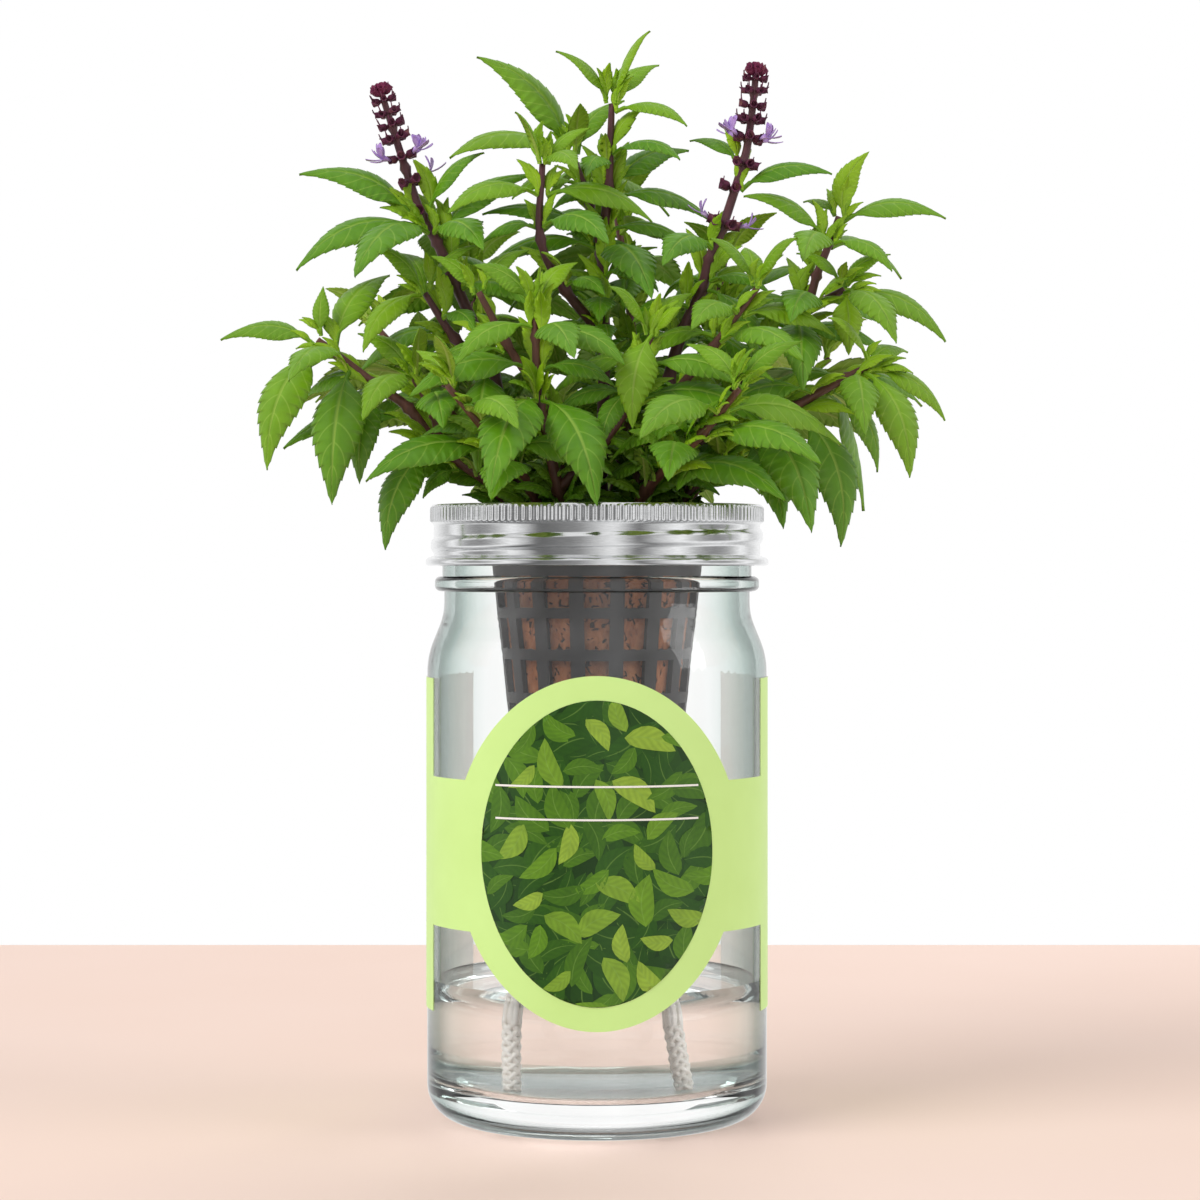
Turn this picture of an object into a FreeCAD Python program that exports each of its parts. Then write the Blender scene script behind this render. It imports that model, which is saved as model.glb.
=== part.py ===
import FreeCAD, Part

import math
import os
import re

import Sketcher
from FreeCAD import Placement, Rotation, Vector

# A wide-mouth preserving jar that holds nutrient water, with a net cup of coir and a basil
# plant hung in its mouth under the screw band. Millimetres, degrees and counts.
SIZES = {
    # Glass jar
    "jar_radius": 45.3,
    "jar_wall": 2.8,
    "jar_floor": 4.6,
    "push_up": 4.4,
    "push_up_radius": 27.0,
    "bearing_radius": 33.0,
    "heel_round": 9.5,
    "inner_heel_round": 11.0,
    "shoulder_drop": 38.1,
    "shoulder_middle_drop": 33.4,
    "shoulder_draw": 1.9,
    "shoulder_round": 22.0,
    "neck_drop": 27.0,
    "neck_round": 16.0,
    "bead_drop": 20.9,
    "bead_tall": 4.0,
    "bead_stand": 2.5,
    "bead_round": 1.5,
    "mouth_radius": 38.0,
    "finish_wall": 3.3,
    "rim_height": 161.3,
    "rim_round": 0.9,
    # Screw thread, shared by the glass and the band
    "thread_pitch": 5.08,
    "thread_turns": 1.08,
    "thread_start": 90.0,
    "thread_drop": 10.0,
    "thread_depth": 1.45,
    "thread_foot": 2.6,
    "thread_crest": 0.9,
    "thread_clearance": 0.3,
    "root_bury": 0.6,
    # Screw band
    "band_sheet": 0.5,
    "band_lip_bore": 38.0,
    "band_drop": 14.1,
    "hem_tall": 1.9,
    "hem_stand": 2.2,
    "hem_round": 0.8,
    "knurl_drop": 2.6,
    "knurl_tall": 4.1,
    "knurl_stand": 0.6,
    "knurl_depth": 0.4,
    "knurl_count": 140,
    "band_round": 0.5,
    "bulge_stand": 0.75,
    "bulge_foot": 4.0,
    "bulge_crest": 1.5,
    "rib_turns": 1.0,
    "rib_foot": 1.9,
    "rib_crest": 0.8,
    "seat_clearance": 0.05,
    # Net cup
    "cup_flange_radius": 41.8,
    "cup_flange": 1.6,
    "cup_mouth_radius": 29.5,
    "cup_foot_radius": 21.5,
    "cup_depth": 74.3,
    "cup_wall": 1.6,
    "cup_floor": 1.6,
    "rib_count": 16,
    "rib_width": 3.8,
    "ring_pitch": 11.2,
    "ring_tall": 2.8,
    "ring_drop": 26.5,
    "drain_radius": 2.5,
    "drain_circle": 15.0,
    "drain_count": 5,
    "drain_first": 20.0,
    "drain_step": 35.0,
    # Growing medium and wicks
    "plug_drop": 11.3,
    "plug_clearance": 0.3,
    "socket_clearance": 0.3,
    "wick_radius": 2.5,
    "wick_apart": 12.0,
    "wick_forward": 9.0,
    "wick_head": 18.0,
    "wick_clearance": 0.3,
    # Label
    "label_sheet": 0.2,
    "label_glue": 0.05,
    "oval_half_width": 37.0,
    "oval_half_height": 45.1,
    "oval_middle": 74.2,
    "strap_low": 53.0,
    "strap_tall": 39.0,
    "strap_angle": 254.0,
    "panel_low": 30.3,
    "panel_tall": 87.4,
    "panel_angle": 56.0,
    # Plant
    "plant_reach": 100.0,
    "stem_radius": 1.9,
    "shoot_radius": 0.8,
    "stem_joint": 0.35,
    "leaf_thickness": 0.6,
    "petiole_width": 1.5,
    "leaf_gap": 0.4,
    "leaf_spacing": 1.4,
    "stalk_reach": 5.0,
    "facing_depth": 15.0,
    "band_guard": 3.0,
    "calyx_length": 3.4,
    "calyx_mouth": 1.2,
    "calyx_foot": 0.6,
    "petal_length": 4.5,
    "petal_mouth": 2.7,
}

doc = FreeCAD.newDocument("JarPlanter")
sheet = doc.addObject("Spreadsheet::Sheet", "Sizes")
for row, (alias, amount) in enumerate(SIZES.items(), 1):
    sheet.set(f"A{row}", alias)
    sheet.set(f"B{row}", str(amount))
    sheet.setAlias(f"B{row}", alias)
doc.recompute()


def sized(formula):
    """The formula with the sheet's name before each of its aliases."""
    return re.sub(r"\b([a-z]+_[a-z_]+)\b", r"Sizes.\1", formula)


def value(formula):
    """What a formula of the sheet's sizes comes to."""
    return float(sheet.evalExpression(sized(formula)))


def bind(thing, **formulas):
    """Bind properties of an object to formulas of the sheet's sizes."""
    for name, formula in formulas.items():
        thing.setExpression(name.replace("__", "."), sized(formula))
    return thing


# Heights and radii that more than one piece needs
SHOULDER_LOW = "(rim_height - shoulder_drop)"
SHOULDER_MIDDLE = "(rim_height - shoulder_middle_drop)"
NECK_LOW = "(rim_height - neck_drop)"
BEAD_LOW = "(rim_height - bead_drop)"
BEAD_TOP = f"({BEAD_LOW} + bead_tall)"
THREAD_LOW = "(rim_height - thread_drop)"
BAND_LOW = "(rim_height - band_drop)"
HEM_TOP = f"({BAND_LOW} + hem_tall)"
KNURL_LOW = "(rim_height - knurl_drop)"
PLUG_TOP = "(rim_height - plug_drop)"
NECK = "(mouth_radius + jar_wall)"
FINISH = "(mouth_radius + finish_wall)"
BAND_INSIDE = f"({FINISH} + thread_depth + thread_clearance)"
BAND_OUTSIDE = f"({BAND_INSIDE} + band_sheet)"
KNURL_ROOT = f"({BAND_OUTSIDE} + knurl_stand)"
CUP_LOW = "(rim_height - cup_depth)"
CUP_TOP = "(rim_height + cup_flange)"
LIP_LOW = f"({CUP_TOP} + seat_clearance)"
BAND_TOP = f"({LIP_LOW} + band_sheet)"
JAR_INSIDE_LOW = "(push_up + jar_floor)"
PLUG_LOW = f"({CUP_LOW} + cup_floor + plug_clearance)"
CUP_SLOPE = "((cup_mouth_radius - cup_foot_radius) / cup_depth)"


def plane(body, role):
    """One of the body's own origin planes."""
    return next(part for part in body.Origin.OriginFeatures if part.Role == role)


def hold(sketch, kind, line, formula):
    """Hold a line's first point at a distance from the origin, along one axis of the sketch."""
    amount = value(formula)
    axis = -2 if kind == "DistanceX" else -1
    if abs(amount) < 1e-9:
        sketch.addConstraint(Sketcher.Constraint("PointOnObject", line, 1, axis))
    elif amount > 0:
        index = sketch.addConstraint(Sketcher.Constraint(kind, -1, 1, line, 1, amount))
        sketch.setExpression(f"Constraints[{index}]", sized(formula))
    else:
        index = sketch.addConstraint(Sketcher.Constraint(kind, line, 1, -1, 1, -amount))
        sketch.setExpression(f"Constraints[{index}]", sized(f"-({formula})"))


def outline(body, name, loops, role="XZ_Plane", turn="0"):
    """Closed outlines of straight lines on an origin plane. Each corner is a pair of formulas."""
    sketch = body.newObject("Sketcher::SketchObject", name)
    sketch.AttachmentSupport = [(plane(body, role), "")]
    sketch.MapMode = "FlatFace"
    sketch.AttachmentOffset = Placement(Vector(), Rotation(Vector(0, 1, 0), value(turn)))
    for corners in loops:
        first = sketch.GeometryCount
        places = [Vector(value(x), value(y), 0) for x, y in corners]
        for start, end in zip(places, places[1:] + places[:1]):
            sketch.addGeometry(Part.LineSegment(start, end), False)
        for n, (across, up) in enumerate(corners):
            following = first + (n + 1) % len(corners)
            sketch.addConstraint(Sketcher.Constraint("Coincident", first + n, 2, following, 1))
            hold(sketch, "DistanceX", first + n, across)
            hold(sketch, "DistanceY", first + n, up)
    return sketch


def node(name, shape):
    """A sub-part whose shape is set here, with its place last."""
    piece = doc.addObject("Part::Feature", name)
    piece.Shape = shape
    piece.Placement = Placement()
    return piece


def turned(body, name, corners):
    """A solid turned about the upright axis."""
    sketch = outline(body, name + "_outline", [corners])
    solid = body.newObject("PartDesign::Revolution", name)
    solid.Profile = sketch
    solid.ReferenceAxis = (sketch, ["V_Axis"])
    solid.Angle = 360
    doc.recompute()
    return solid


def rounded(body, base, name, radius, corners):
    """Fillets on the turned edges at the named corners."""
    places = [(value(x), value(y)) for x, y in corners]
    names = []
    for n, edge in enumerate(base.Shape.Edges, 1):
        middle = edge.valueAt((edge.FirstParameter + edge.LastParameter) / 2)
        across = math.hypot(middle.x, middle.y)
        if any(math.hypot(across - x, middle.z - y) < 1e-4 for x, y in places):
            names.append(f"Edge{n}")
    fillet = body.newObject("PartDesign::Fillet", name)
    fillet.Base = (base, names)
    bind(fillet, Radius=radius)
    doc.recompute()
    return fillet


def threaded(body, name, corners, turns, turn):
    """A right-hand helical ridge whose section starts at an angle about the axis."""
    sketch = outline(body, name + "_section", [corners], turn=turn)
    ridge = body.newObject("PartDesign::AdditiveHelix", name)
    ridge.Profile = sketch
    ridge.ReferenceAxis = (sketch, ["V_Axis"])
    ridge.Mode = 1
    bind(ridge, Pitch="thread_pitch", Turns=turns)
    doc.recompute()
    return ridge


def make_jar():
    """The glass: push-up base, straight body, shoulder, bead, threaded finish and fire-polished rim."""
    body = doc.addObject("PartDesign::Body", "glass_jar")
    shoulder = "(jar_radius - shoulder_draw)"
    bead = f"({NECK} + bead_stand)"
    heel = ("jar_radius", "0")
    inner_heel = ("jar_radius - jar_wall", JAR_INSIDE_LOW)
    shoulders = [("jar_radius", SHOULDER_LOW), ("jar_radius - jar_wall", SHOULDER_LOW)]
    necks = [(NECK, NECK_LOW), ("mouth_radius", NECK_LOW)]
    beads = [(bead, BEAD_LOW), (bead, BEAD_TOP)]
    rims = [(FINISH, "rim_height"), ("mouth_radius", "rim_height")]
    solid = turned(body, "jar_glass", [
        ("0", "push_up"),
        ("push_up_radius", "push_up"),
        ("bearing_radius", "0"),
        heel,
        shoulders[0],
        (shoulder, SHOULDER_MIDDLE),
        necks[0],
        (NECK, BEAD_LOW),
        beads[0],
        beads[1],
        (FINISH, BEAD_TOP),
        rims[0],
        rims[1],
        necks[1],
        (f"{shoulder} - jar_wall", SHOULDER_MIDDLE),
        shoulders[1],
        inner_heel,
        ("0", JAR_INSIDE_LOW),
    ])
    solid = rounded(body, solid, "heel", "heel_round", [heel])
    solid = rounded(body, solid, "inner_heel", "inner_heel_round", [inner_heel])
    solid = rounded(body, solid, "shoulder", "shoulder_round", shoulders)
    solid = rounded(body, solid, "neck", "neck_round", necks)
    solid = rounded(body, solid, "bead", "bead_round", beads)
    solid = rounded(body, solid, "rim", "rim_round", rims)
    threaded(body, "finish_thread", [
        (f"{FINISH} - root_bury", f"{THREAD_LOW} - thread_foot / 2"),
        (f"{FINISH} + thread_depth", f"{THREAD_LOW} - thread_crest / 2"),
        (f"{FINISH} + thread_depth", f"{THREAD_LOW} + thread_crest / 2"),
        (f"{FINISH} - root_bury", f"{THREAD_LOW} + thread_foot / 2"),
    ], "thread_turns", "thread_start")
    return body


def flutes():
    """The knurled ring: a zigzag outline raised over the height of the knurl."""
    root = value(KNURL_ROOT)
    crest = root + value("knurl_depth")
    count = int(value("knurl_count"))
    foot = Vector(0, 0, value(KNURL_LOW))
    tall = Vector(0, 0, value("knurl_tall"))
    corners = []
    for n in range(2 * count):
        reach = crest if n % 2 else root
        angle = math.pi * n / count
        corners.append(foot + Vector(math.cos(angle), math.sin(angle), 0) * reach)
    outer = Part.Face(Part.makePolygon(corners + corners[:1])).extrude(tall)
    return node("knurl", outer.cut(Part.makeCylinder(root - value("band_sheet") / 2, tall.z, foot)))


def make_band():
    """The rolled band: lip, knurl, recess with its helical bulge outside and rib inside, and hem."""
    body = doc.addObject("PartDesign::Body", "band_sheet_metal")
    hem = f"({BAND_OUTSIDE} + hem_stand)"
    lip = (KNURL_ROOT, BAND_TOP)
    hems = [(hem, BAND_LOW), (hem, HEM_TOP)]
    knurl_inside = f"({KNURL_ROOT} - band_sheet)"
    solid = turned(body, "band_wall", [
        ("band_lip_bore", LIP_LOW),
        ("band_lip_bore", BAND_TOP),
        lip,
        (KNURL_ROOT, KNURL_LOW),
        (BAND_OUTSIDE, f"{KNURL_LOW} - knurl_stand"),
        (BAND_OUTSIDE, f"{HEM_TOP} + hem_round"),
        hems[1],
        hems[0],
        (BAND_INSIDE, BAND_LOW),
        (BAND_INSIDE, f"{KNURL_LOW} - knurl_stand"),
        (knurl_inside, KNURL_LOW),
        (knurl_inside, LIP_LOW),
    ])
    solid = rounded(body, solid, "band_lip", "band_round", [lip])
    solid = rounded(body, solid, "band_hem", "hem_round", hems)
    threaded(body, "bulge", [
        (f"{BAND_OUTSIDE} - band_sheet / 2", f"{THREAD_LOW} - bulge_foot / 2"),
        (f"{BAND_OUTSIDE} + bulge_stand", f"{THREAD_LOW} - bulge_crest / 2"),
        (f"{BAND_OUTSIDE} + bulge_stand", f"{THREAD_LOW} + bulge_crest / 2"),
        (f"{BAND_OUTSIDE} - band_sheet / 2", f"{THREAD_LOW} + bulge_foot / 2"),
    ], "thread_turns", "thread_start")
    # The rib starts a quarter turn later than the glass thread and runs half a pitch under it
    rib = f"({THREAD_LOW} - thread_pitch / 4)"
    threaded(body, "rib", [
        (f"{BAND_INSIDE} + band_sheet / 2", f"{rib} - rib_foot / 2"),
        (f"{BAND_INSIDE} + band_sheet / 2", f"{rib} + rib_foot / 2"),
        (f"{FINISH} + thread_clearance", f"{rib} + rib_crest / 2"),
        (f"{FINISH} + thread_clearance", f"{rib} - rib_crest / 2"),
    ], "rib_turns", "thread_start + 90")
    band = doc.addObject("Part::Fuse", "screw_band")
    band.Base = body
    band.Tool = flutes()
    return band


def cup_outside(height):
    """The cup's outer radius at a height."""
    return f"(cup_foot_radius + ({height} - {CUP_LOW}) * {CUP_SLOPE})"


def pocket(body, name, sketch, reverse):
    """A cut right through on one side of the sketch."""
    cut = body.newObject("PartDesign::Pocket", name)
    cut.Profile = sketch
    cut.Type = 1
    cut.Reversed = reverse
    doc.recompute()
    return cut


def circles(body, name, centres, radius):
    """Circles on the body's ground plane, each centre a pair of formulas."""
    sketch = body.newObject("Sketcher::SketchObject", name)
    sketch.AttachmentSupport = [(plane(body, "XY_Plane"), "")]
    sketch.MapMode = "FlatFace"
    for n, (across, along) in enumerate(centres):
        centre = Vector(value(across), value(along), 0)
        sketch.addGeometry(Part.Circle(centre, Vector(0, 0, 1), value(radius)), False)
        index = sketch.addConstraint(Sketcher.Constraint("Radius", n, value(radius)))
        sketch.setExpression(f"Constraints[{index}]", sized(radius))
        for kind, amount, formula in (("DistanceX", centre.x, across), ("DistanceY", centre.y, along)):
            ends = (-1, 1, n, 3) if amount > 0 else (n, 3, -1, 1)
            index = sketch.addConstraint(Sketcher.Constraint(kind, *ends, abs(amount)))
            sketch.setExpression(f"Constraints[{index}]", sized(formula if amount > 0 else f"-({formula})"))
    return sketch


WICKS = [("-wick_apart", "-wick_forward"), ("wick_apart", "-wick_forward")]


def make_cup():
    """The moulded cup: flange, tapered wall with columns of slots between its rings, pierced floor."""
    body = doc.addObject("PartDesign::Body", "net_cup")
    turned(body, "cup_wall_and_floor", [
        ("0", CUP_LOW),
        ("cup_foot_radius", CUP_LOW),
        ("cup_mouth_radius", "rim_height"),
        ("cup_flange_radius", "rim_height"),
        ("cup_flange_radius", CUP_TOP),
        ("cup_mouth_radius - cup_wall", CUP_TOP),
        ("cup_foot_radius - cup_wall", f"{CUP_LOW} + cup_floor"),
        ("0", f"{CUP_LOW} + cup_floor"),
    ])
    loops = []
    rows = 1 + int(value("(cup_depth - cup_floor - ring_drop + ring_tall / 2) / ring_pitch"))
    for n in range(rows):
        top = f"(rim_height - ring_drop - ring_pitch * {n - 1} - ring_tall / 2)"
        low = f"(rim_height - ring_drop - ring_pitch * {n} + ring_tall / 2)"
        wide = f"({cup_outside(top)} * pi / rib_count - rib_width / 2)"
        narrow = f"({cup_outside(low)} * pi / rib_count - rib_width / 2)"
        loops.append([(f"-{narrow}", low), (narrow, low), (wide, top), (f"-{wide}", top)])
    sketch = outline(body, "slot_column", loops, role="YZ_Plane")
    slots = pocket(body, "slots", sketch, True)
    pattern = body.newObject("PartDesign::PolarPattern", "slots_around")
    pattern.Originals = [slots]
    pattern.Axis = (plane(body, "Z_Axis"), [""])
    pattern.Angle = 360
    bind(pattern, Occurrences="rib_count")
    body.Tip = pattern
    doc.recompute()
    drains = []
    for n in range(int(value("drain_count"))):
        angle = f"drain_first + {n} * drain_step"
        drains.append((f"drain_circle * cos({angle})", f"drain_circle * sin({angle})"))
    pocket(body, "drains", circles(body, "drain_holes", drains, "drain_radius"), True)
    holes = circles(body, "wick_holes", WICKS, "wick_radius + wick_clearance")
    pocket(body, "wick_ways", holes, True)
    return body


# Places on the plant, as shares of its reach, from the middle of the plug's top. Each stem has
# its main route first and then any side shoots, which start on it.
STEM_SHARES = {
    "left_spike": [
        [(-.13, .05, -.10), (-.15, .05, .05), (-.20, .03, .17), (-.28, .02, .49), (-.39, .04, .75),
         (-.43, .05, .84), (-.47, .05, .91), (-.515, .05, 1.04), (-.55, .05, 1.15), (-.585, .05, 1.26)],
        [(-.28, .02, .49), (-.38, .0, .58), (-.46, .0, .70)],
    ],
    "right_spike": [
        [(.12, .0, -.10), (.125, .0, .05), (.14, .0, .16), (.19, .0, .46), (.23, .0, .60), (.28, .0, .71),
         (.30, .0, .79), (.335, .0, .875), (.39, .0, 1.045), (.405, .0, 1.115), (.42, .0, 1.235),
         (.425, .0, 1.31)],
    ],
    "centre": [
        [(.0, .07, -.10), (.01, .07, .15), (.02, .08, .59), (.01, .10, .815), (-.02, .10, .95),
         (-.065, .10, 1.08)],
        [(.01, .10, .815), (.03, .08, .99), (.04, .06, 1.215)],
        [(.02, .08, .59), (-.085, .0, .71), (-.15, -.05, .84), (-.145, -.05, 1.04)],
    ],
    "far_left": [
        [(-.19, -.03, -.10), (-.20, -.03, .05), (-.26, -.04, .17), (-.42, -.06, .29), (-.50, -.07, .39),
         (-.59, -.08, .455), (-.70, -.08, .54), (-.74, -.08, .57)],
        [(-.42, -.06, .29), (-.43, -.08, .37), (-.486, -.10, .47)],
    ],
    "right": [
        [(.19, -.06, -.10), (.20, -.07, .05), (.25, -.08, .17), (.40, -.10, .31), (.52, -.10, .39),
         (.66, -.10, .47), (.72, -.10, .50)],
    ],
    "upper_right": [
        [(.17, .10, -.10), (.17, .11, .05), (.20, .12, .17), (.38, .12, .45), (.50, .08, .58),
         (.56, .05, .655), (.59, .05, .75), (.625, .05, .84), (.65, .05, .91)],
        [(.56, .05, .655), (.66, .0, .71)],
    ],
    "front": [
        [(-.06, -.12, -.10), (-.07, -.14, .05), (-.10, -.18, .17), (-.15, -.24, .40), (-.16, -.25, .565),
         (-.16, -.25, .65)],
        [(-.10, -.18, .17), (.02, -.22, .30), (.10, -.25, .42), (.14, -.24, .57)],
    ],
    "front_left": [
        [(-.14, -.12, -.10), (-.15, -.14, .05), (-.17, -.17, .17), (-.28, -.32, .31), (-.38, -.42, .43)],
    ],
    "front_right": [
        [(.08, -.13, -.10), (.09, -.15, .05), (.13, -.20, .17), (.27, -.38, .31), (.36, -.46, .42)],
    ],
    "back": [
        [(.02, .18, -.10), (.03, .19, .05), (.05, .22, .17), (.10, .33, .50), (.08, .40, .78),
         (.05, .43, .98)],
    ],
    "back_left": [
        [(-.12, .15, -.10), (-.13, .16, .05), (-.16, .19, .17), (-.36, .38, .40), (-.50, .52, .56)],
        [(-.36, .38, .40), (-.34, .44, .62), (-.36, .46, .80)],
    ],
    "back_right": [
        [(.11, .16, -.10), (.12, .17, .05), (.165, .19, .17), (.36, .42, .42), (.46, .56, .62)],
        [(.36, .42, .42), (.34, .46, .66), (.36, .48, .84)],
    ],
    "inner_left": [
        [(-.05, -.03, -.10), (-.06, -.04, .05), (-.09, -.07, .17), (-.13, -.10, .38), (-.24, -.14, .56),
         (-.31, -.16, .69)],
    ],
    "inner_right": [
        [(.06, -.05, -.10), (.07, -.06, .05), (.10, -.09, .17), (.16, -.12, .36), (.30, -.16, .54),
         (.42, -.18, .70)],
    ],
    "side_left": [
        [(-.21, .07, -.10), (-.21, .08, .05), (-.24, .10, .17), (-.44, .20, .44), (-.60, .26, .62)],
    ],
    "side_right": [
        [(.22, .03, -.10), (.22, .04, .05), (.25, .06, .17), (.46, .20, .40), (.64, .27, .54)],
    ],
    "back_low": [
        [(-.05, .17, -.10), (-.06, .19, .05), (-.07, .22, .17), (-.10, .50, .30), (-.11, .66, .38)],
    ],
}

# Leaves that face the front: the route and the place along it that each grows from, where 2.5 is
# halfway between points 2 and 3, then its tip and its width, as shares of the reach
LEAF_SHARES = {
    "left_spike": [
        (0, 6, -.796, .0, 1.018, .065), (0, 5.7, -.80, -.05, .757, .07), (0, 5.4, -.625, -.25, .717, .065),
        (0, 6, -.30, -.05, 1.07, .055), (0, 5, -.16, .10, 1.03, .08), (0, 4.5, -.31, .18, .91, .05),
        (1, 2, -.615, -.15, .533, .08), (1, 1.2, -.65, .10, .48, .067), (0, 3, -.31, -.30, .209, .10),
    ],
    "right_spike": [
        (0, 8, .25, .10, 1.12, .04), (0, 5, .423, -.25, .506, .09), (0, 4, .433, -.05, .473, .065),
        (0, 4, .362, -.35, .233, .128), (0, 7.6, .625, -.05, 1.013, .075),
    ],
    "centre": [
        (0, 5, -.323, .05, 1.34, .107), (0, 5, -.39, -.10, 1.05, .07), (1, 2, -.11, .0, 1.347, .053),
        (1, 2, .14, .05, 1.39, .053), (1, 1.9, .24, -.05, 1.14, .053), (0, 5, .075, .18, 1.24, .05),
        (1, 1.4, .22, -.10, 1.045, .08), (1, 1, .25, .15, 1.10, .107), (0, 3.3, -.31, -.10, .92, .07),
        (0, 3, .143, -.25, .665, .05), (2, 3, -.05, -.25, 1.00, .05),
    ],
    "far_left": [
        (0, 7, -.997, -.08, .57, .06), (0, 7, -.727, -.05, .714, .04), (0, 6.5, -.857, -.25, .22, .09),
        (0, 5.5, -.684, -.30, .129, .10), (0, 6, -.56, .10, .757, .06), (0, 5, -.62, -.20, .185, .07),
        (0, 3, -.553, -.20, .013, .10), (0, 2.6, -.46, -.10, .15, .06), (1, 2, -.60, -.25, .343, .08),
    ],
    "right": [
        (0, 6, .836, .05, .545, .06), (0, 6, .92, -.10, .355, .06), (0, 5.7, .8125, -.25, .20, .10),
        (0, 5.3, .687, -.30, .307, .07), (0, 4.7, .7456, -.05, .22, .06), (0, 4, .637, -.20, .021, .12),
        (0, 4.6, .7257, .15, .12, .065), (0, 3.2, .547, -.30, .057, .085), (0, 2.9, .48, -.33, .067, .075),
        (0, 2.6, .2066, -.40, .165, .09),
    ],
    "upper_right": [
        (0, 7, .39, -.10, .955, .07), (0, 8, .732, .05, 1.085, .067), (0, 7.8, .933, .0, .90, .075),
        (0, 8, .565, -.10, 1.02, .067), (0, 7, .78, -.10, .75, .06), (0, 8, .56, .15, .96, .05),
        (1, 1, .927, -.05, .567, .075), (1, 1, .778, -.25, .55, .065), (0, 4.6, .535, -.25, .426, .107),
        (1, 1, .668, -.18, .53, .085),
    ],
    "front": [
        (0, 3, .0, -.52, .123, .147), (0, 3, -.265, -.50, .153, .112), (0, 4, .071, -.40, .484, .07),
        (0, 5, -.32, -.30, .748, .08), (0, 5, -.145, -.30, .741, .04), (0, 4.3, -.36, -.40, .484, .065),
        (1, 3, .0916, -.42, .323, .112), (1, 2, .013, -.45, .274, .065), (1, 2, .121, -.50, .166, .085),
        (1, 3, .22, -.30, .64, .05),
    ],
}

# Whorls of calyces up the two flower spikes, by their places along the stem, and those in flower
WHORL_PLACES = {
    "left_spike": (5.4, 6.1, 6.7, 7.26, 7.73, 8.05, 8.34, 8.65),
    "right_spike": (7.06, 7.6, 8.0, 8.96, 9.4, 9.71, 10.07, 10.5),
}
FLOWERING = {"left_spike": (2, 3), "right_spike": (0, 2, 3)}
CALYCES = 6
CALYX_RISE_SHARE = .7
# Flowers open where a calyx points this far to a side, and leaves within this many calyx lengths of a
# whorl are looked at
SIDE_SHARE = .8
WHORL_REACH = 5

# How a leaf's half-width swells and narrows from its base to its tip, as shares
BLADE_SHARES = [(0, .0), (.10, .0), (.17, .30), (.30, .82), (.45, 1.0), (.62, .88), (.80, .50), (.93, .18),
                (1, .03)]
# Growth of the leaves that follow the rule: their length, how it falls with height, and their rise
FILL_LENGTH_SHARE = .40
FILL_FALL_SHARE = .10
FILL_RISE_SHARE = -.22
FILL_STEP_SHARE = .085
FILL_LOW_SHARE = .15
CROWN_LENGTH_SHARE = .20
CROWN_RISE_SHARE = .75
FILL_TRIES = [(1, 0), (1, .5), (1, -.5), (.8, 0), (.8, .9), (.8, -.9), (.6, 0), (.6, .5), (.6, -.5)]
NEARER_SHARES = (0, -.06, .06, -.12, .12, -.18, .18, -.24, .24)
# A leaf's least width for its length, its arch, how far its face leans outwards and to the front or
# back, where it bends, its curve across, and the turn between the leaves of one stem and the next
SLIM_SHARE = .36
LIFT_SHARE = .34
OUTWARD_SHARE = .2
FACING_SHARE = .8
BEND_PLACE = .45
CAMBER_SHARE = .28
TURN_STEP = 1.1
# A stem's points lower than this stand by the cup's mouth, as shares of this much of its radius
ROOT_HEIGHT_SHARE = .2
MOUTH_SHARE = 3.39
# How a leaf keeps off stems: the marks along each length of stem, the gaps it tries in turn, the
# sections along its stalk, and how far from its base it is measured, in half thicknesses
STEM_STEPS = 20
GAP_SHARES = (1, 1.5, 2)
STALK_SECTIONS = 3
NEAR_GAPS = 40
# A side shoot starts as thin as its parent is at this share of the parent's length
SHOOT_SHARE = .4


def plus(a, b, share=1):
    return tuple(p + q * share for p, q in zip(a, b))


def dot(a, b):
    return sum(p * q for p, q in zip(a, b))


def cross(a, b):
    return (a[1] * b[2] - a[2] * b[1], a[2] * b[0] - a[0] * b[2], a[0] * b[1] - a[1] * b[0])


def unit(a):
    size = math.sqrt(dot(a, a)) or 1
    return tuple(p / size for p in a)


def along(route, place):
    """The point at a place along a route, and the direction there."""
    n = min(int(place), len(route) - 2)
    step = plus(route[n + 1], route[n], -1)
    return plus(route[n], step, place - n), unit(step)


def steps_up(route, step):
    """Places along a route at equal steps, from its far end downwards."""
    places, left = [], 0
    for n in range(len(route) - 2, -1, -1):
        span = plus(route[n + 1], route[n], -1)
        length = math.sqrt(dot(span, span))
        while left < length:
            places.append(n + 1 - left / length)
            left += step
        left -= length
    return places


def leaf_sections(base, tip, width, petiole, facing):
    """A leaf's sections from base to tip: centre, side and face directions, half-width and camber."""
    span = plus(tip, base, -1)
    length = math.sqrt(dot(span, span))
    forward = unit(span)
    outward = unit((base[0], base[1], 0))
    viewer = (0, -1, 0) if base[1] < facing else (0, 1, 0)
    side = unit(cross(forward, plus(plus((0, 0, 1), outward, OUTWARD_SHARE), viewer, FACING_SHARE)))
    arch = unit(plus((0, 0, 1), forward, -forward[2]))
    bend = plus(plus(base, span, BEND_PLACE), arch, length * LIFT_SHARE)
    half = max(width, SLIM_SHARE * length) / 2
    sections = []
    for place, share in BLADE_SHARES:
        start, end = plus(base, plus(bend, base, -1), place), plus(bend, plus(tip, bend, -1), place)
        centre, heading = plus(start, plus(end, start, -1), place), unit(plus(end, start, -1))
        across = unit(plus(side, heading, -dot(side, heading)))
        face = cross(across, heading)
        stalk = petiole / 2 if place < BEND_PLACE else 0
        reach = max(stalk, half * share)
        sections.append((centre, across, face, reach, CAMBER_SHARE * (reach - stalk)))
    return sections


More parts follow.
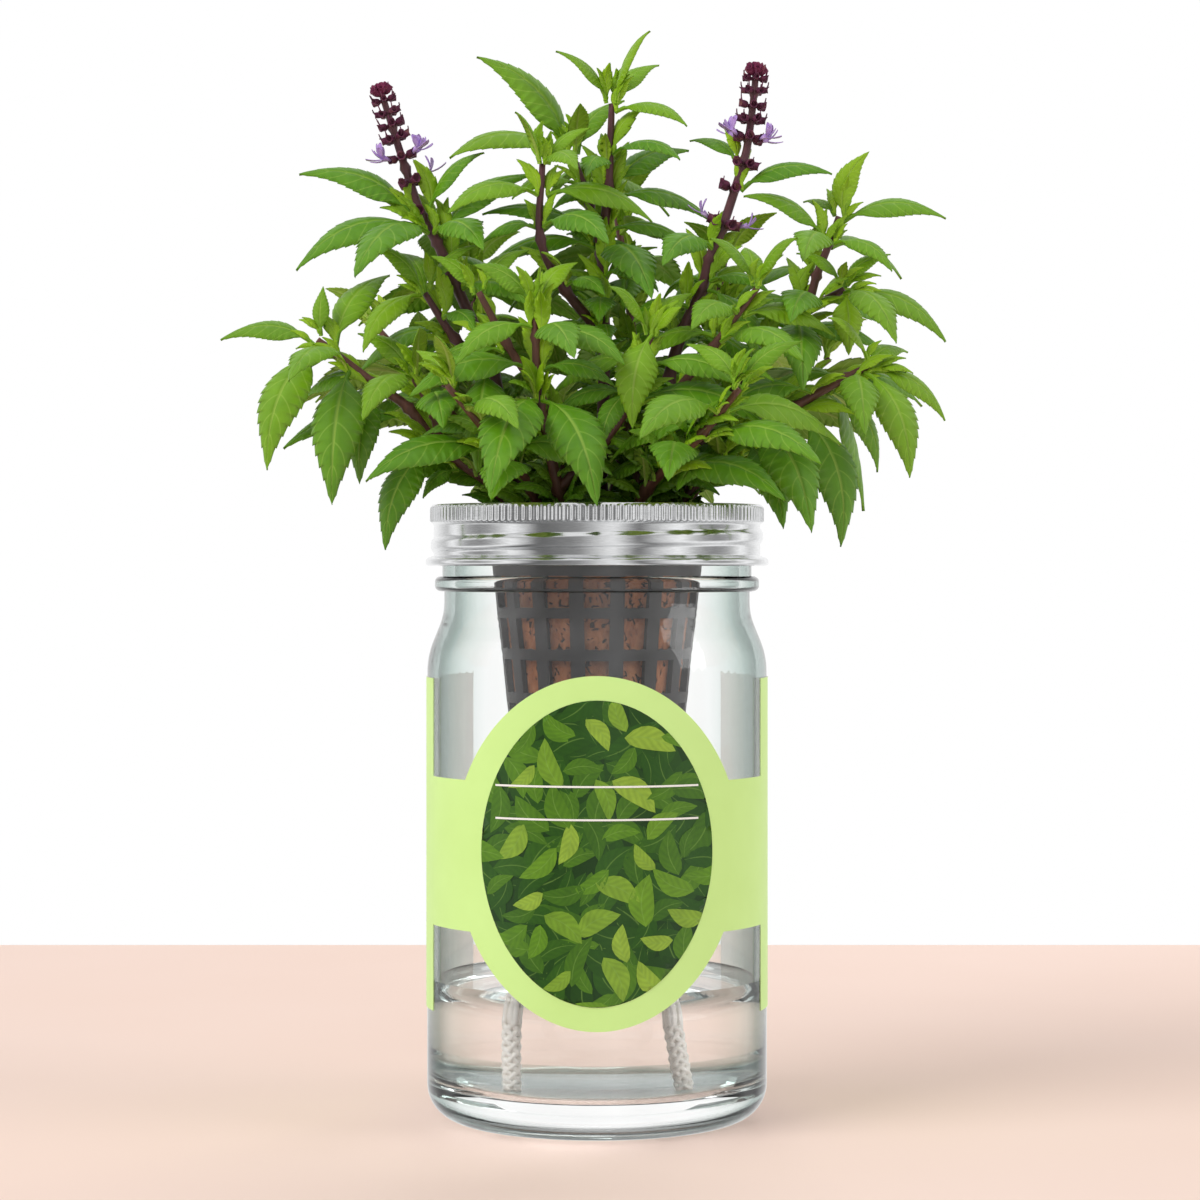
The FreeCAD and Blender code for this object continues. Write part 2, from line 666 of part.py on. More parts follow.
def spots(sections):
    """Points over a leaf's blade, to keep other leaves away from."""
    found = []
    for (centre, across, face, reach, camber), (following, *_) in zip(sections[2:], sections[3:]):
        for share in (-1, -.66, -.33, 0, .33, .66, 1):
            spot = plus(plus(centre, across, reach * share), face, -camber * share * share)
            found += [plus(spot, plus(following, centre, -1), step) for step in (0, .33, .66)]
    return found


def stalk_spots(sections):
    """The middle and the two edges of a leaf's sections along its stalk."""
    found = []
    for centre, across, face, reach, camber in sections[:STALK_SECTIONS]:
        found += [centre, plus(plus(centre, across, reach), face, -camber),
                  plus(plus(centre, across, -reach), face, -camber)]
    return found


def stem_bars(routes, joint):
    """A stem's lengths and swollen joints: start, run, and the radius at each end."""
    bars = []
    for route in routes:
        for n, (start, end) in enumerate(zip(route, route[1:])):
            first, last = (stem_radius(n + step, route, route is routes[0]) for step in (0, 1))
            bars.append((start, plus(end, start, -1), first, last))
            if n:
                bars.append((start, (0, 0, 0), first + joint, first + joint))
    return bars


def stands_off(bars, found, base, half):
    """Whether a leaf's spots near its base are all farther from its own stem than half its thickness."""
    for spot in found:
        if math.dist(spot, base) < NEAR_GAPS * half:
            for start, run, first, last in bars:
                away = plus(spot, start, -1)
                share = min(1, max(0, dot(away, run) / (dot(run, run) or 1)))
                if math.dist(away, tuple(p * share for p in run)) < first + (last - first) * share + half:
                    return False
    return True


def grow():
    """All stems and leaves in millimetres: {stem: routes} and {stem: leaf sections}."""
    reach = value("plant_reach")
    top = value(PLUG_TOP)
    mouth = value("cup_mouth_radius") * MOUTH_SHARE
    gap = value("leaf_gap")
    half = value("leaf_thickness") / 2
    spacing = value("leaf_spacing")
    guard_radius = value(f"{BAND_OUTSIDE} + hem_stand + band_guard")
    guard_height = value(f"{BAND_TOP} + band_guard / 2")
    petiole = value("petiole_width")
    stalk_reach = value("stalk_reach")
    facing = value("facing_depth")
    joint = value("stem_joint")

    def place(shares, spread=reach):
        return (shares[0] * spread, shares[1] * spread, top + shares[2] * reach)

    def rooted(shares):
        """A point of a stem, which stands by the cup's mouth where it is low."""
        return place(shares, mouth if shares[2] < ROOT_HEIGHT_SHARE else reach)

    stems = {}
    for name, routes in STEM_SHARES.items():
        stems[name] = [[rooted(shares) for shares in route] for route in routes]
    bars = {name: stem_bars(routes, joint) for name, routes in stems.items()}
    leaves = {name: [] for name in stems}
    taken = {}

    def cell(spot):
        return tuple(math.floor(p / spacing) for p in spot)

    def clear(name, base, found):
        for spot in found:
            if spot[2] < guard_height and math.hypot(spot[0], spot[1]) < guard_radius:
                return False
            x, y, z = cell(spot)
            own = name if math.dist(spot, base) < stalk_reach else None
            for near in ((x + a, y + b, z + c) for a in (-1, 0, 1) for b in (-1, 0, 1) for c in (-1, 0, 1)):
                if taken.get(near, own) != own:
                    return False
        return True

    def add(name, route, where, tip, width):
        """Grow a leaf unless another is in its way."""
        point, heading = along(route, where)
        radius = stem_radius(where, route, route is stems[name][0])
        radius += joint * (abs(where - round(where)) < .1)
        aside = unit(plus(plus(tip, point, -1), heading, -dot(plus(tip, point, -1), heading)))
        for share in GAP_SHARES:
            base = plus(point, aside, radius + gap * share)
            sections = leaf_sections(base, tip, width, petiole, facing)
            found = spots(sections)
            if not clear(name, base, found):
                return False
            if stands_off(bars[name], stalk_spots(sections) + found, base, half):
                leaves[name].append(sections)
                for spot in found:
                    taken[cell(spot)] = (name, len(leaves[name]))
                return True
        return False

    for name, routes in stems.items():
        for route in routes:
            for n in range(1, STEM_STEPS * (len(route) - 1)):
                taken[cell(along(route, n / STEM_STEPS)[0])] = name
    for name, rows in LEAF_SHARES.items():
        for branch, where, x, y, z, width in rows:
            for nearer in NEARER_SHARES:
                if add(name, stems[name][branch], where, place((x, y + nearer, z)), width * reach):
                    break
            else:
                print("no room for", name, where, x, y, z)
    shoots = []
    for turn, (name, routes) in enumerate(stems.items()):
        for route in routes:
            flowering = WHORL_PLACES[name][0] if route is routes[0] and name in WHORL_PLACES else len(route)
            for n, where in enumerate(steps_up(route, FILL_STEP_SHARE * reach)):
                if where < flowering and along(route, where)[0][2] > top + FILL_LOW_SHARE * reach:
                    shoots.append((n, turn, name, route, min(where, len(route) - 1.01)))
    for n, turn, name, route, where in sorted(shoots, key=lambda shoot: shoot[:2]):
        point = along(route, where)[0]
        height = (point[2] - top) / reach
        length = reach * (FILL_LENGTH_SHARE - FILL_FALL_SHARE * height if n else CROWN_LENGTH_SHARE)
        rise = FILL_RISE_SHARE if n else CROWN_RISE_SHARE
        for side in range(2 if n else 4):
            angle = TURN_STEP * turn + math.pi / 2 * (n + 2 * side if n else side)
            for share, aside in FILL_TRIES:
                way = unit((math.cos(angle + aside), math.sin(angle + aside), rise))
                if add(name, route, where, plus(point, way, length * share), 0):
                    break
    return stems, leaves


def stem_radius(where, route, main):
    """The radius of a main stem or a side shoot at a place along its route."""
    first = 0 if main else SHOOT_SHARE
    share = first + (1 - first) * where / (len(route) - 1)
    return value("stem_radius") + (value("shoot_radius") - value("stem_radius")) * share


def stem_solid(routes):
    """Tapered lengths between swollen joints, made one."""
    solids = []
    for branch, route in enumerate(routes):
        for n, (start, end) in enumerate(zip(route, route[1:])):
            radii = [stem_radius(n + step, route, not branch) for step in (0, 1)]
            span = Vector(*end) - Vector(*start)
            solids.append(Part.makeCone(radii[0], radii[1], span.Length, Vector(*start), span))
            if n:
                solids.append(Part.makeSphere(radii[0] + value("stem_joint"), Vector(*start)))
        solids.append(Part.makeSphere(radii[1], Vector(*route[-1])))
    return solids[0].fuse(solids[1:]).removeSplitter()


def leaf_solid(sections):
    """A thin lens-shaped blade lofted through its sections."""
    thickness = value("leaf_thickness")
    wires = []
    for n, (centre, across, face, reach, camber) in enumerate(sections):
        half = thickness / 2 * (1 if n < len(sections) - 1 else .5)
        middle = Vector(*centre)
        left = middle - Vector(*across) * reach - Vector(*face) * camber
        right = middle + Vector(*across) * reach - Vector(*face) * camber
        upper = Part.Arc(left, middle + Vector(*face) * half, right).toShape()
        under = Part.Arc(right, middle - Vector(*face) * half, left).toShape()
        wires.append(Part.Wire([upper, under]))
    return Part.makeLoft(wires, True, False)


def make_plant():
    """Stems, each with its leaves in a node of their own, and the flower spikes."""
    stems, leaves = grow()
    pieces = make_spikes(stems, leaves)
    for name, routes in stems.items():
        pieces.append(node("stem_" + name, stem_solid(routes)))
        pieces.append(node("leaves_" + name, Part.Compound([leaf_solid(each) for each in leaves[name]])))
        print(name, "leaves", len(leaves[name]))
    return stems, pieces


def make_spikes(stems, leaves):
    """Each spike's calyces, in whorls that shrink upwards, and the flowers that are open at its sides."""
    pieces = []
    gap = value("leaf_gap")
    clear = value("leaf_gap + calyx_foot")
    calyx_length, petal_length = value("calyx_length"), value("petal_length")
    foot_radius, mouth_radius = value("calyx_foot"), value("calyx_mouth")
    petal_radius = value("petal_mouth")
    leafy = [spot for grown in leaves.values() for sections in grown
             for spot in stalk_spots(sections) + spots(sections)]
    for name, places in WHORL_PLACES.items():
        route = stems[name][0]
        calyces, flowers = [], []
        for n, where in enumerate(places):
            point, heading = along(route, where)
            near = [spot for spot in leafy if math.dist(spot, point) < WHORL_REACH * calyx_length]

            def free(start, way, length, radius):
                """Whether a cone of this size would stand clear of the leaves."""
                marks = [plus(start, way, length * share) for share in (0, .5, 1)]
                return all(math.dist(spot, mark) > radius + 2 * gap for spot in near for mark in marks)

            scale = 1 - n / (2 * len(places))
            across = unit(cross(heading, (0, 1, 0)))
            behind = cross(heading, across)
            for k in range(CALYCES):
                angle = 2 * math.pi * (k + n / 2) / CALYCES
                aside = plus(tuple(p * math.cos(angle) for p in across), behind, math.sin(angle))
                way = unit(plus(aside, heading, CALYX_RISE_SHARE))
                foot = plus(point, aside, stem_radius(where, route, True) + clear)
                length, mouth = calyx_length * scale, mouth_radius * scale
                if not free(foot, way, length, mouth):
                    continue
                calyces.append(Part.makeCone(foot_radius * scale, mouth, length, Vector(*foot),
                                             Vector(*way)))
                start = plus(foot, way, length + gap)
                if (n in FLOWERING[name] and abs(math.cos(angle)) > SIDE_SHARE
                        and free(start, way, petal_length, petal_radius)):
                    flowers.append(Part.makeCone(mouth / 2, petal_radius, petal_length, Vector(*start),
                                                 Vector(*way)))
        print(name, "calyces", len(calyces), "flowers", len(flowers))
        pieces.append(node("calyces_" + name, Part.Compound(calyces)))
        pieces.append(node("flowers_" + name, Part.Compound(flowers)))
    return pieces


def make_plug(stems):
    """The plug of coir that fills the cup, bored for the wicks, with a socket for each stem."""
    body = doc.addObject("PartDesign::Body", "plug_body")
    low = f"({cup_outside(PLUG_LOW)} - cup_wall - plug_clearance)"
    high = f"({cup_outside(PLUG_TOP)} - cup_wall - plug_clearance)"
    turned(body, "plug_coir", [("0", PLUG_LOW), (low, PLUG_LOW), (high, PLUG_TOP), ("0", PLUG_TOP)])
    bores = circles(body, "wick_bores", WICKS, "wick_radius + wick_clearance")
    cut = body.newObject("PartDesign::Pocket", "wick_bore_cut")
    cut.Profile = bores
    cut.Reversed = True
    bind(cut, Length=f"{CUP_LOW} + cup_floor + wick_head + wick_clearance")
    doc.recompute()
    sockets = []
    for routes in stems.values():
        start, end = (Vector(*point) for point in routes[0][:2])
        radius = value("stem_radius + socket_clearance")
        sockets.append(Part.makeCylinder(radius, (end - start).Length, start, end - start))
    tool = node("stem_sockets", Part.Compound(sockets))
    plug = doc.addObject("Part::Cut", "coir_plug")
    plug.Base = body
    plug.Tool = tool
    return plug


# Each wick's free stretch, from under the cup's floor to the floor of the jar
WICK_ROUTES = {
    "wick_left": [(-12, -9, 86.9), (-12.2, -9.4, 74), (-13.6, -11.6, 61), (-16.4, -15.2, 49),
                  (-18.8, -18, 37), (-19.5, -19.4, 23.5), (-19.4, -20, 9.3)],
    "wick_right": [(12, -9, 86.9), (12.1, -9.3, 74), (12.6, -11.2, 61), (13.6, -14.2, 48),
                   (15.6, -17.2, 35.5), (18, -19, 22.5), (20, -19.8, 9.45)],
}
# How much of its shorter run each bend of a wick takes up
ROUNDING_SHARE = .45


def rounded_route(points):
    """Straight runs joined by tangent arcs, each as large as its two runs allow."""
    places = [Vector(*p) for p in points]
    edges, radii, start = [], [], places[0]
    for before, corner, after in zip(places, places[1:], places[2:]):
        back, ahead = before - corner, after - corner
        turn = math.pi - back.getAngle(ahead)
        reach = ROUNDING_SHARE * min(back.Length, ahead.Length)
        radii.append(reach / math.tan(turn / 2))
        back.normalize()
        ahead.normalize()
        entry, leave = corner + back * reach, corner + ahead * reach
        middle = corner + (back + ahead).normalize() * (radii[-1] / math.cos(turn / 2) - radii[-1])
        edges += [Part.LineSegment(start, entry).toShape(), Part.Arc(entry, middle, leave).toShape()]
        start = leave
    edges.append(Part.LineSegment(start, places[-1]).toShape())
    return Part.Wire(edges), radii


def make_wicks():
    """Two braided wicks: an upright head in the plug, and a free stretch down to the water."""
    pieces = []
    for name, (across, forward) in zip(WICK_ROUTES, WICKS):
        head = doc.addObject("Part::Cylinder", name.replace("wick", "wick_head"))
        bind(head, Radius="wick_radius", Height="wick_head + cup_floor", Placement__Base__x=across,
             Placement__Base__y=forward, Placement__Base__z=CUP_LOW)
        pieces.append(head)
        path, radii = rounded_route(WICK_ROUTES[name])
        radius = value("wick_radius")
        first = path.Edges[0]
        section = Part.Wire(Part.makeCircle(radius, first.valueAt(0), first.tangentAt(0)))
        tube = path.makePipeShell([section], True, True)
        ideal = math.pi * radius ** 2 * path.Length
        print(name, "radii", [round(r, 1) for r in radii], "length", round(path.Length, 1),
              "volume", round(tube.Volume, 1), "of", round(ideal, 1))
        pieces.append(node(name, tube))
    return pieces


def make_label():
    """The printed sheet on the glass: front oval, strap and two side panels."""
    outer = bind(doc.addObject("Part::Cylinder", "label_outside"), Height="rim_height",
                 Radius="jar_radius + label_glue + label_sheet")
    inner = bind(doc.addObject("Part::Cylinder", "label_inside"), Height="rim_height",
                 Radius="jar_radius + label_glue")
    tube = doc.addObject("Part::Cut", "label_tube")
    tube.Base, tube.Tool = outer, inner
    ellipse = doc.addObject("Part::Ellipse", "oval_edge")
    bind(ellipse, MajorRadius="oval_half_height", MinorRadius="oval_half_width",
         Placement__Base__z="oval_middle")
    ellipse.Placement.Rotation = Rotation(Vector(0, 0, 1), Vector(1, 0, 0), Vector(0, 1, 0), "XYZ")
    oval = doc.addObject("Part::Extrusion", "oval")
    oval.Base = ellipse
    oval.DirMode = "Custom"
    oval.Dir = Vector(0, -1, 0)
    oval.Solid = True
    bind(oval, LengthFwd="jar_radius * 2")
    sectors = [oval]
    for name, low, tall, angle, start in (
        ("strap", "strap_low", "strap_tall", "strap_angle", "270 - strap_angle / 2"),
        ("left_panel", "panel_low", "panel_tall", "panel_angle", "270 - strap_angle / 2"),
        ("right_panel", "panel_low", "panel_tall", "panel_angle", "270 + strap_angle / 2 - panel_angle"),
    ):
        sector = bind(doc.addObject("Part::Cylinder", name), Radius="jar_radius * 2", Height=tall,
                      Angle=angle, Placement__Base__z=low)
        sector.setExpression("Placement.Rotation.Angle", sized(start))
        sectors.append(sector)
    shapes = doc.addObject("Part::MultiFuse", "label_shapes")
    shapes.Shapes = sectors
    label = doc.addObject("Part::Common", "label")
    label.Base, label.Tool = tube, shapes
    return label


def main():
    pieces = [make_jar(), make_band(), make_cup(), make_label()]
    stems, plant = make_plant()
    pieces += plant + [make_plug(stems)] + make_wicks()
    doc.recompute()
    for thing in doc.Objects:
        if "Invalid" in thing.State or "Error" in thing.State:
            raise SystemExit(f"{thing.Name} failed: {thing.State}")
    for piece in pieces:
        if piece.Shape.isNull() or not piece.Shape.isValid() or not piece.Shape.Solids:
            raise SystemExit(f"{piece.Label} has no valid solid")
    os.makedirs("parts", exist_ok=True)
    for piece in pieces:
        piece.Shape.exportStep(f"parts/{piece.Label}.step")
        print(piece.Label, len(piece.Shape.Solids), round(piece.Shape.Volume))


main()
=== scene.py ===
import itertools
import math
import random

import bpy
import numpy as np
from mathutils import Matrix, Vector


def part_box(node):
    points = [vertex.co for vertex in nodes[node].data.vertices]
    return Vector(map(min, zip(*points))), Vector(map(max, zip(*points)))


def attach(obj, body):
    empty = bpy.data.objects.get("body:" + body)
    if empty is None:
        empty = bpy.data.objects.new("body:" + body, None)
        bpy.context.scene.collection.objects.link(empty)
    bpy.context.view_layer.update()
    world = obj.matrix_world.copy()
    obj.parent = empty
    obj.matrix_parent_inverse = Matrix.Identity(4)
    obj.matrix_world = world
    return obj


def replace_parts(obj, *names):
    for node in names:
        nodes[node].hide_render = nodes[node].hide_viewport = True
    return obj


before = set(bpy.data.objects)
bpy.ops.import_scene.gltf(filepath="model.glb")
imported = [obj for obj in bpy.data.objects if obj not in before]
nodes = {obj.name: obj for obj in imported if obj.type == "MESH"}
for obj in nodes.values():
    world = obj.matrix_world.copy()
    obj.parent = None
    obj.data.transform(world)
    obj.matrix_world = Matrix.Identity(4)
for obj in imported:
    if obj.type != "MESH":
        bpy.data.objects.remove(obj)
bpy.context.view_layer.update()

# The scene is in metres. The plant grows in millimetres, by the same rule as its solids.
MM = 0.001
REACH = 100.0
MOUTH = 29.5 * 3.39
PLUG_TOP = 150.0
STEM_RADIUS = 1.9
SHOOT_RADIUS = 0.8
STEM_JOINT = 0.35
PETIOLE = 1.5
LEAF_GAP = 0.4
LEAF_SPACING = 1.4
STALK_REACH = 5.0
FACING_DEPTH = 15.0
LEAF_HALF = 0.3
GUARD_RADIUS = 48.75
GUARD_HEIGHT = 164.95
CALYX_LENGTH = 3.4
CALYX_MOUTH = 1.2
CALYX_FOOT = 0.6
PETAL_LENGTH = 4.5
PETAL_MOUTH = 2.7
# The small low leaves: where they clear the band, their places up a stem, and their lengths
CLEAR_HEIGHT = 165.5
CLEAR_RADIUS = 35.0
LOW_PLACES = (1.15, 3.1, .17)
LOW_LENGTHS = (9, 19)
# The lengths of the new leaves beside each leaf, near a stem's end and lower down
END_LENGTHS = (5, 11)
SIDE_LENGTHS = (7, 16)


def srgb(red, green, blue):
    """A colour written in 0 to 255, as the linear values that sockets take."""
    found = []
    for level in (red, green, blue):
        level /= 255
        found.append(level / 12.92 if level <= .04045 else ((level + .055) / 1.055) ** 2.4)
    return (*found, 1)


# Places on the plant, as shares of its reach, from the middle of the plug's top. Each stem has
# its main route first and then any side shoots, which start on it.
STEM_SHARES = {
    "left_spike": [
        [(-.13, .05, -.10), (-.15, .05, .05), (-.20, .03, .17), (-.28, .02, .49), (-.39, .04, .75),
         (-.43, .05, .84), (-.47, .05, .91), (-.515, .05, 1.04), (-.55, .05, 1.15), (-.585, .05, 1.26)],
        [(-.28, .02, .49), (-.38, .0, .58), (-.46, .0, .70)],
    ],
    "right_spike": [
        [(.12, .0, -.10), (.125, .0, .05), (.14, .0, .16), (.19, .0, .46), (.23, .0, .60),
         (.28, .0, .71), (.30, .0, .79), (.335, .0, .875), (.39, .0, 1.045), (.405, .0, 1.115),
         (.42, .0, 1.235), (.425, .0, 1.31)],
    ],
    "centre": [
        [(.0, .07, -.10), (.01, .07, .15), (.02, .08, .59), (.01, .10, .815), (-.02, .10, .95),
         (-.065, .10, 1.08)],
        [(.01, .10, .815), (.03, .08, .99), (.04, .06, 1.215)],
        [(.02, .08, .59), (-.085, .0, .71), (-.15, -.05, .84), (-.145, -.05, 1.04)],
    ],
    "far_left": [
        [(-.19, -.03, -.10), (-.20, -.03, .05), (-.26, -.04, .17), (-.42, -.06, .29), (-.50, -.07, .39),
         (-.59, -.08, .455), (-.70, -.08, .54), (-.74, -.08, .57)],
        [(-.42, -.06, .29), (-.43, -.08, .37), (-.486, -.10, .47)],
    ],
    "right": [
        [(.19, -.06, -.10), (.20, -.07, .05), (.25, -.08, .17), (.40, -.10, .31), (.52, -.10, .39),
         (.66, -.10, .47), (.72, -.10, .50)],
    ],
    "upper_right": [
        [(.17, .10, -.10), (.17, .11, .05), (.20, .12, .17), (.38, .12, .45), (.50, .08, .58),
         (.56, .05, .655), (.59, .05, .75), (.625, .05, .84), (.65, .05, .91)],
        [(.56, .05, .655), (.66, .0, .71)],
    ],
    "front": [
        [(-.06, -.12, -.10), (-.07, -.14, .05), (-.10, -.18, .17), (-.15, -.24, .40),
         (-.16, -.25, .565), (-.16, -.25, .65)],
        [(-.10, -.18, .17), (.02, -.22, .30), (.10, -.25, .42), (.14, -.24, .57)],
    ],
    "front_left": [
        [(-.14, -.12, -.10), (-.15, -.14, .05), (-.17, -.17, .17), (-.28, -.32, .31), (-.38, -.42, .43)],
    ],
    "front_right": [
        [(.08, -.13, -.10), (.09, -.15, .05), (.13, -.20, .17), (.27, -.38, .31), (.36, -.46, .42)],
    ],
    "back": [
        [(.02, .18, -.10), (.03, .19, .05), (.05, .22, .17), (.10, .33, .50), (.08, .40, .78),
         (.05, .43, .98)],
    ],
    "back_left": [
        [(-.12, .15, -.10), (-.13, .16, .05), (-.16, .19, .17), (-.36, .38, .40), (-.50, .52, .56)],
        [(-.36, .38, .40), (-.34, .44, .62), (-.36, .46, .80)],
    ],
    "back_right": [
        [(.11, .16, -.10), (.12, .17, .05), (.165, .19, .17), (.36, .42, .42), (.46, .56, .62)],
        [(.36, .42, .42), (.34, .46, .66), (.36, .48, .84)],
    ],
    "inner_left": [
        [(-.05, -.03, -.10), (-.06, -.04, .05), (-.09, -.07, .17), (-.13, -.10, .38), (-.24, -.14, .56),
         (-.31, -.16, .69)],
    ],
    "inner_right": [
        [(.06, -.05, -.10), (.07, -.06, .05), (.10, -.09, .17), (.16, -.12, .36), (.30, -.16, .54),
         (.42, -.18, .70)],
    ],
    "side_left": [
        [(-.21, .07, -.10), (-.21, .08, .05), (-.24, .10, .17), (-.44, .20, .44), (-.60, .26, .62)],
    ],
    "side_right": [
        [(.22, .03, -.10), (.22, .04, .05), (.25, .06, .17), (.46, .20, .40), (.64, .27, .54)],
    ],
    "back_low": [
        [(-.05, .17, -.10), (-.06, .19, .05), (-.07, .22, .17), (-.10, .50, .30), (-.11, .66, .38)],
    ],
}

# Leaves that face the front: the route and the place along it that each grows from, where 2.5 is
# halfway between points 2 and 3, then its tip and its width, as shares of the reach
LEAF_SHARES = {
    "left_spike": [
        (0, 6, -.796, .0, 1.018, .065), (0, 5.7, -.80, -.05, .757, .07),
        (0, 5.4, -.625, -.25, .717, .065), (0, 6, -.30, -.05, 1.07, .055), (0, 5, -.16, .10, 1.03, .08),
        (0, 4.5, -.31, .18, .91, .05), (1, 2, -.615, -.15, .533, .08), (1, 1.2, -.65, .10, .48, .067),
        (0, 3, -.31, -.30, .209, .10),
    ],
    "right_spike": [
        (0, 8, .25, .10, 1.12, .04), (0, 5, .423, -.25, .506, .09), (0, 4, .433, -.05, .473, .065),
        (0, 4, .362, -.35, .233, .128), (0, 7.6, .625, -.05, 1.013, .075),
    ],
    "centre": [
        (0, 5, -.323, .05, 1.34, .107), (0, 5, -.39, -.10, 1.05, .07), (1, 2, -.11, .0, 1.347, .053),
        (1, 2, .14, .05, 1.39, .053), (1, 1.9, .24, -.05, 1.14, .053), (0, 5, .075, .18, 1.24, .05),
        (1, 1.4, .22, -.10, 1.045, .08), (1, 1, .25, .15, 1.10, .107), (0, 3.3, -.31, -.10, .92, .07),
        (0, 3, .143, -.25, .665, .05), (2, 3, -.05, -.25, 1.00, .05),
    ],
    "far_left": [
        (0, 7, -.997, -.08, .57, .06), (0, 7, -.727, -.05, .714, .04), (0, 6.5, -.857, -.25, .22, .09),
        (0, 5.5, -.684, -.30, .129, .10), (0, 6, -.56, .10, .757, .06), (0, 5, -.62, -.20, .185, .07),
        (0, 3, -.553, -.20, .013, .10), (0, 2.6, -.46, -.10, .15, .06), (1, 2, -.60, -.25, .343, .08),
    ],
    "right": [
        (0, 6, .836, .05, .545, .06), (0, 6, .92, -.10, .355, .06), (0, 5.7, .8125, -.25, .20, .10),
        (0, 5.3, .687, -.30, .307, .07), (0, 4.7, .7456, -.05, .22, .06), (0, 4, .637, -.20, .021, .12),
        (0, 4.6, .7257, .15, .12, .065), (0, 3.2, .547, -.30, .057, .085),
        (0, 2.9, .48, -.33, .067, .075), (0, 2.6, .2066, -.40, .165, .09),
    ],
    "upper_right": [
        (0, 7, .39, -.10, .955, .07), (0, 8, .732, .05, 1.085, .067), (0, 7.8, .933, .0, .90, .075),
        (0, 8, .565, -.10, 1.02, .067), (0, 7, .78, -.10, .75, .06), (0, 8, .56, .15, .96, .05),
        (1, 1, .927, -.05, .567, .075), (1, 1, .778, -.25, .55, .065), (0, 4.6, .535, -.25, .426, .107),
        (1, 1, .668, -.18, .53, .085),
    ],
    "front": [
        (0, 3, .0, -.52, .123, .147), (0, 3, -.265, -.50, .153, .112), (0, 4, .071, -.40, .484, .07),
        (0, 5, -.32, -.30, .748, .08), (0, 5, -.145, -.30, .741, .04), (0, 4.3, -.36, -.40, .484, .065),
        (1, 3, .0916, -.42, .323, .112), (1, 2, .013, -.45, .274, .065), (1, 2, .121, -.50, .166, .085),
        (1, 3, .22, -.30, .64, .05),
    ],
}

# Whorls of calyces up the two flower spikes, by their places along the stem, and those in flower
WHORL_PLACES = {
    "left_spike": (5.4, 6.1, 6.7, 7.26, 7.73, 8.05, 8.34, 8.65),
    "right_spike": (7.06, 7.6, 8.0, 8.96, 9.4, 9.71, 10.07, 10.5),
}
FLOWERING = {"left_spike": (2, 3), "right_spike": (0, 2, 3)}
CALYCES = 6
CALYX_RISE_SHARE = .7
SIDE_SHARE = .8
WHORL_REACH = 5

BLADE_SHARES = [(0, .0), (.10, .0), (.17, .30), (.30, .82), (.45, 1.0), (.62, .88), (.80, .50),
                (.93, .18), (1, .03)]
FILL_LENGTH_SHARE = .40
FILL_FALL_SHARE = .10
FILL_RISE_SHARE = -.22
FILL_STEP_SHARE = .085
FILL_LOW_SHARE = .15
CROWN_LENGTH_SHARE = .20
CROWN_RISE_SHARE = .75
FILL_TRIES = [(1, 0), (1, .5), (1, -.5), (.8, 0), (.8, .9), (.8, -.9), (.6, 0), (.6, .5), (.6, -.5)]
NEARER_SHARES = (0, -.06, .06, -.12, .12, -.18, .18, -.24, .24)
SLIM_SHARE = .36
LIFT_SHARE = .34
OUTWARD_SHARE = .2
FACING_SHARE = .8
BEND_PLACE = .45
CAMBER_SHARE = .28
TURN_STEP = 1.1
SHOOT_SHARE = .4
ROOT_HEIGHT_SHARE = .2
STEM_STEPS = 20
GAP_SHARES = (1, 1.5, 2)
STALK_SECTIONS = 3
NEAR_GAPS = 40


def plus(a, b, share=1):
    return tuple(p + q * share for p, q in zip(a, b))


def dot(a, b):
    return sum(p * q for p, q in zip(a, b))


def cross(a, b):
    return (a[1] * b[2] - a[2] * b[1], a[2] * b[0] - a[0] * b[2], a[0] * b[1] - a[1] * b[0])


def unit(a):
    size = math.sqrt(dot(a, a)) or 1
    return tuple(p / size for p in a)


def along(route, place):
    """The point at a place along a route, and the direction there."""
    n = min(int(place), len(route) - 2)
    step = plus(route[n + 1], route[n], -1)
    return plus(route[n], step, place - n), unit(step)


def steps_up(route, step):
    """Places along a route at equal steps, from its far end downwards."""
    places, left = [], 0
    for n in range(len(route) - 2, -1, -1):
        span = plus(route[n + 1], route[n], -1)
        length = math.sqrt(dot(span, span))
        while left < length:
            places.append(n + 1 - left / length)
            left += step
        left -= length
    return places


def leaf_line(base, tip, width):
    """The points that bend a leaf's midrib, the direction across it, and its greatest half-width."""
    span = plus(tip, base, -1)
    length = math.sqrt(dot(span, span))
    forward = unit(span)
    outward = unit((base[0], base[1], 0))
    viewer = (0, -1, 0) if base[1] < FACING_DEPTH else (0, 1, 0)
    side = unit(cross(forward, plus(plus((0, 0, 1), outward, OUTWARD_SHARE), viewer, FACING_SHARE)))
    arch = unit(plus((0, 0, 1), forward, -forward[2]))
    bend = plus(plus(base, span, BEND_PLACE), arch, length * LIFT_SHARE)
    return bend, side, max(width, SLIM_SHARE * length) / 2


def leaf_sections(base, tip, width):
    """A leaf's sections from base to tip: centre, side and face directions, half-width and camber."""
    bend, side, half = leaf_line(base, tip, width)
    sections = []
    for place, share in BLADE_SHARES:
        start, end = plus(base, plus(bend, base, -1), place), plus(bend, plus(tip, bend, -1), place)
        centre, heading = plus(start, plus(end, start, -1), place), unit(plus(end, start, -1))
        across = unit(plus(side, heading, -dot(side, heading)))
        face = cross(across, heading)
        stalk = PETIOLE / 2 if place < BEND_PLACE else 0
        reach = max(stalk, half * share)
        sections.append((centre, across, face, reach, CAMBER_SHARE * (reach - stalk)))
    return sections


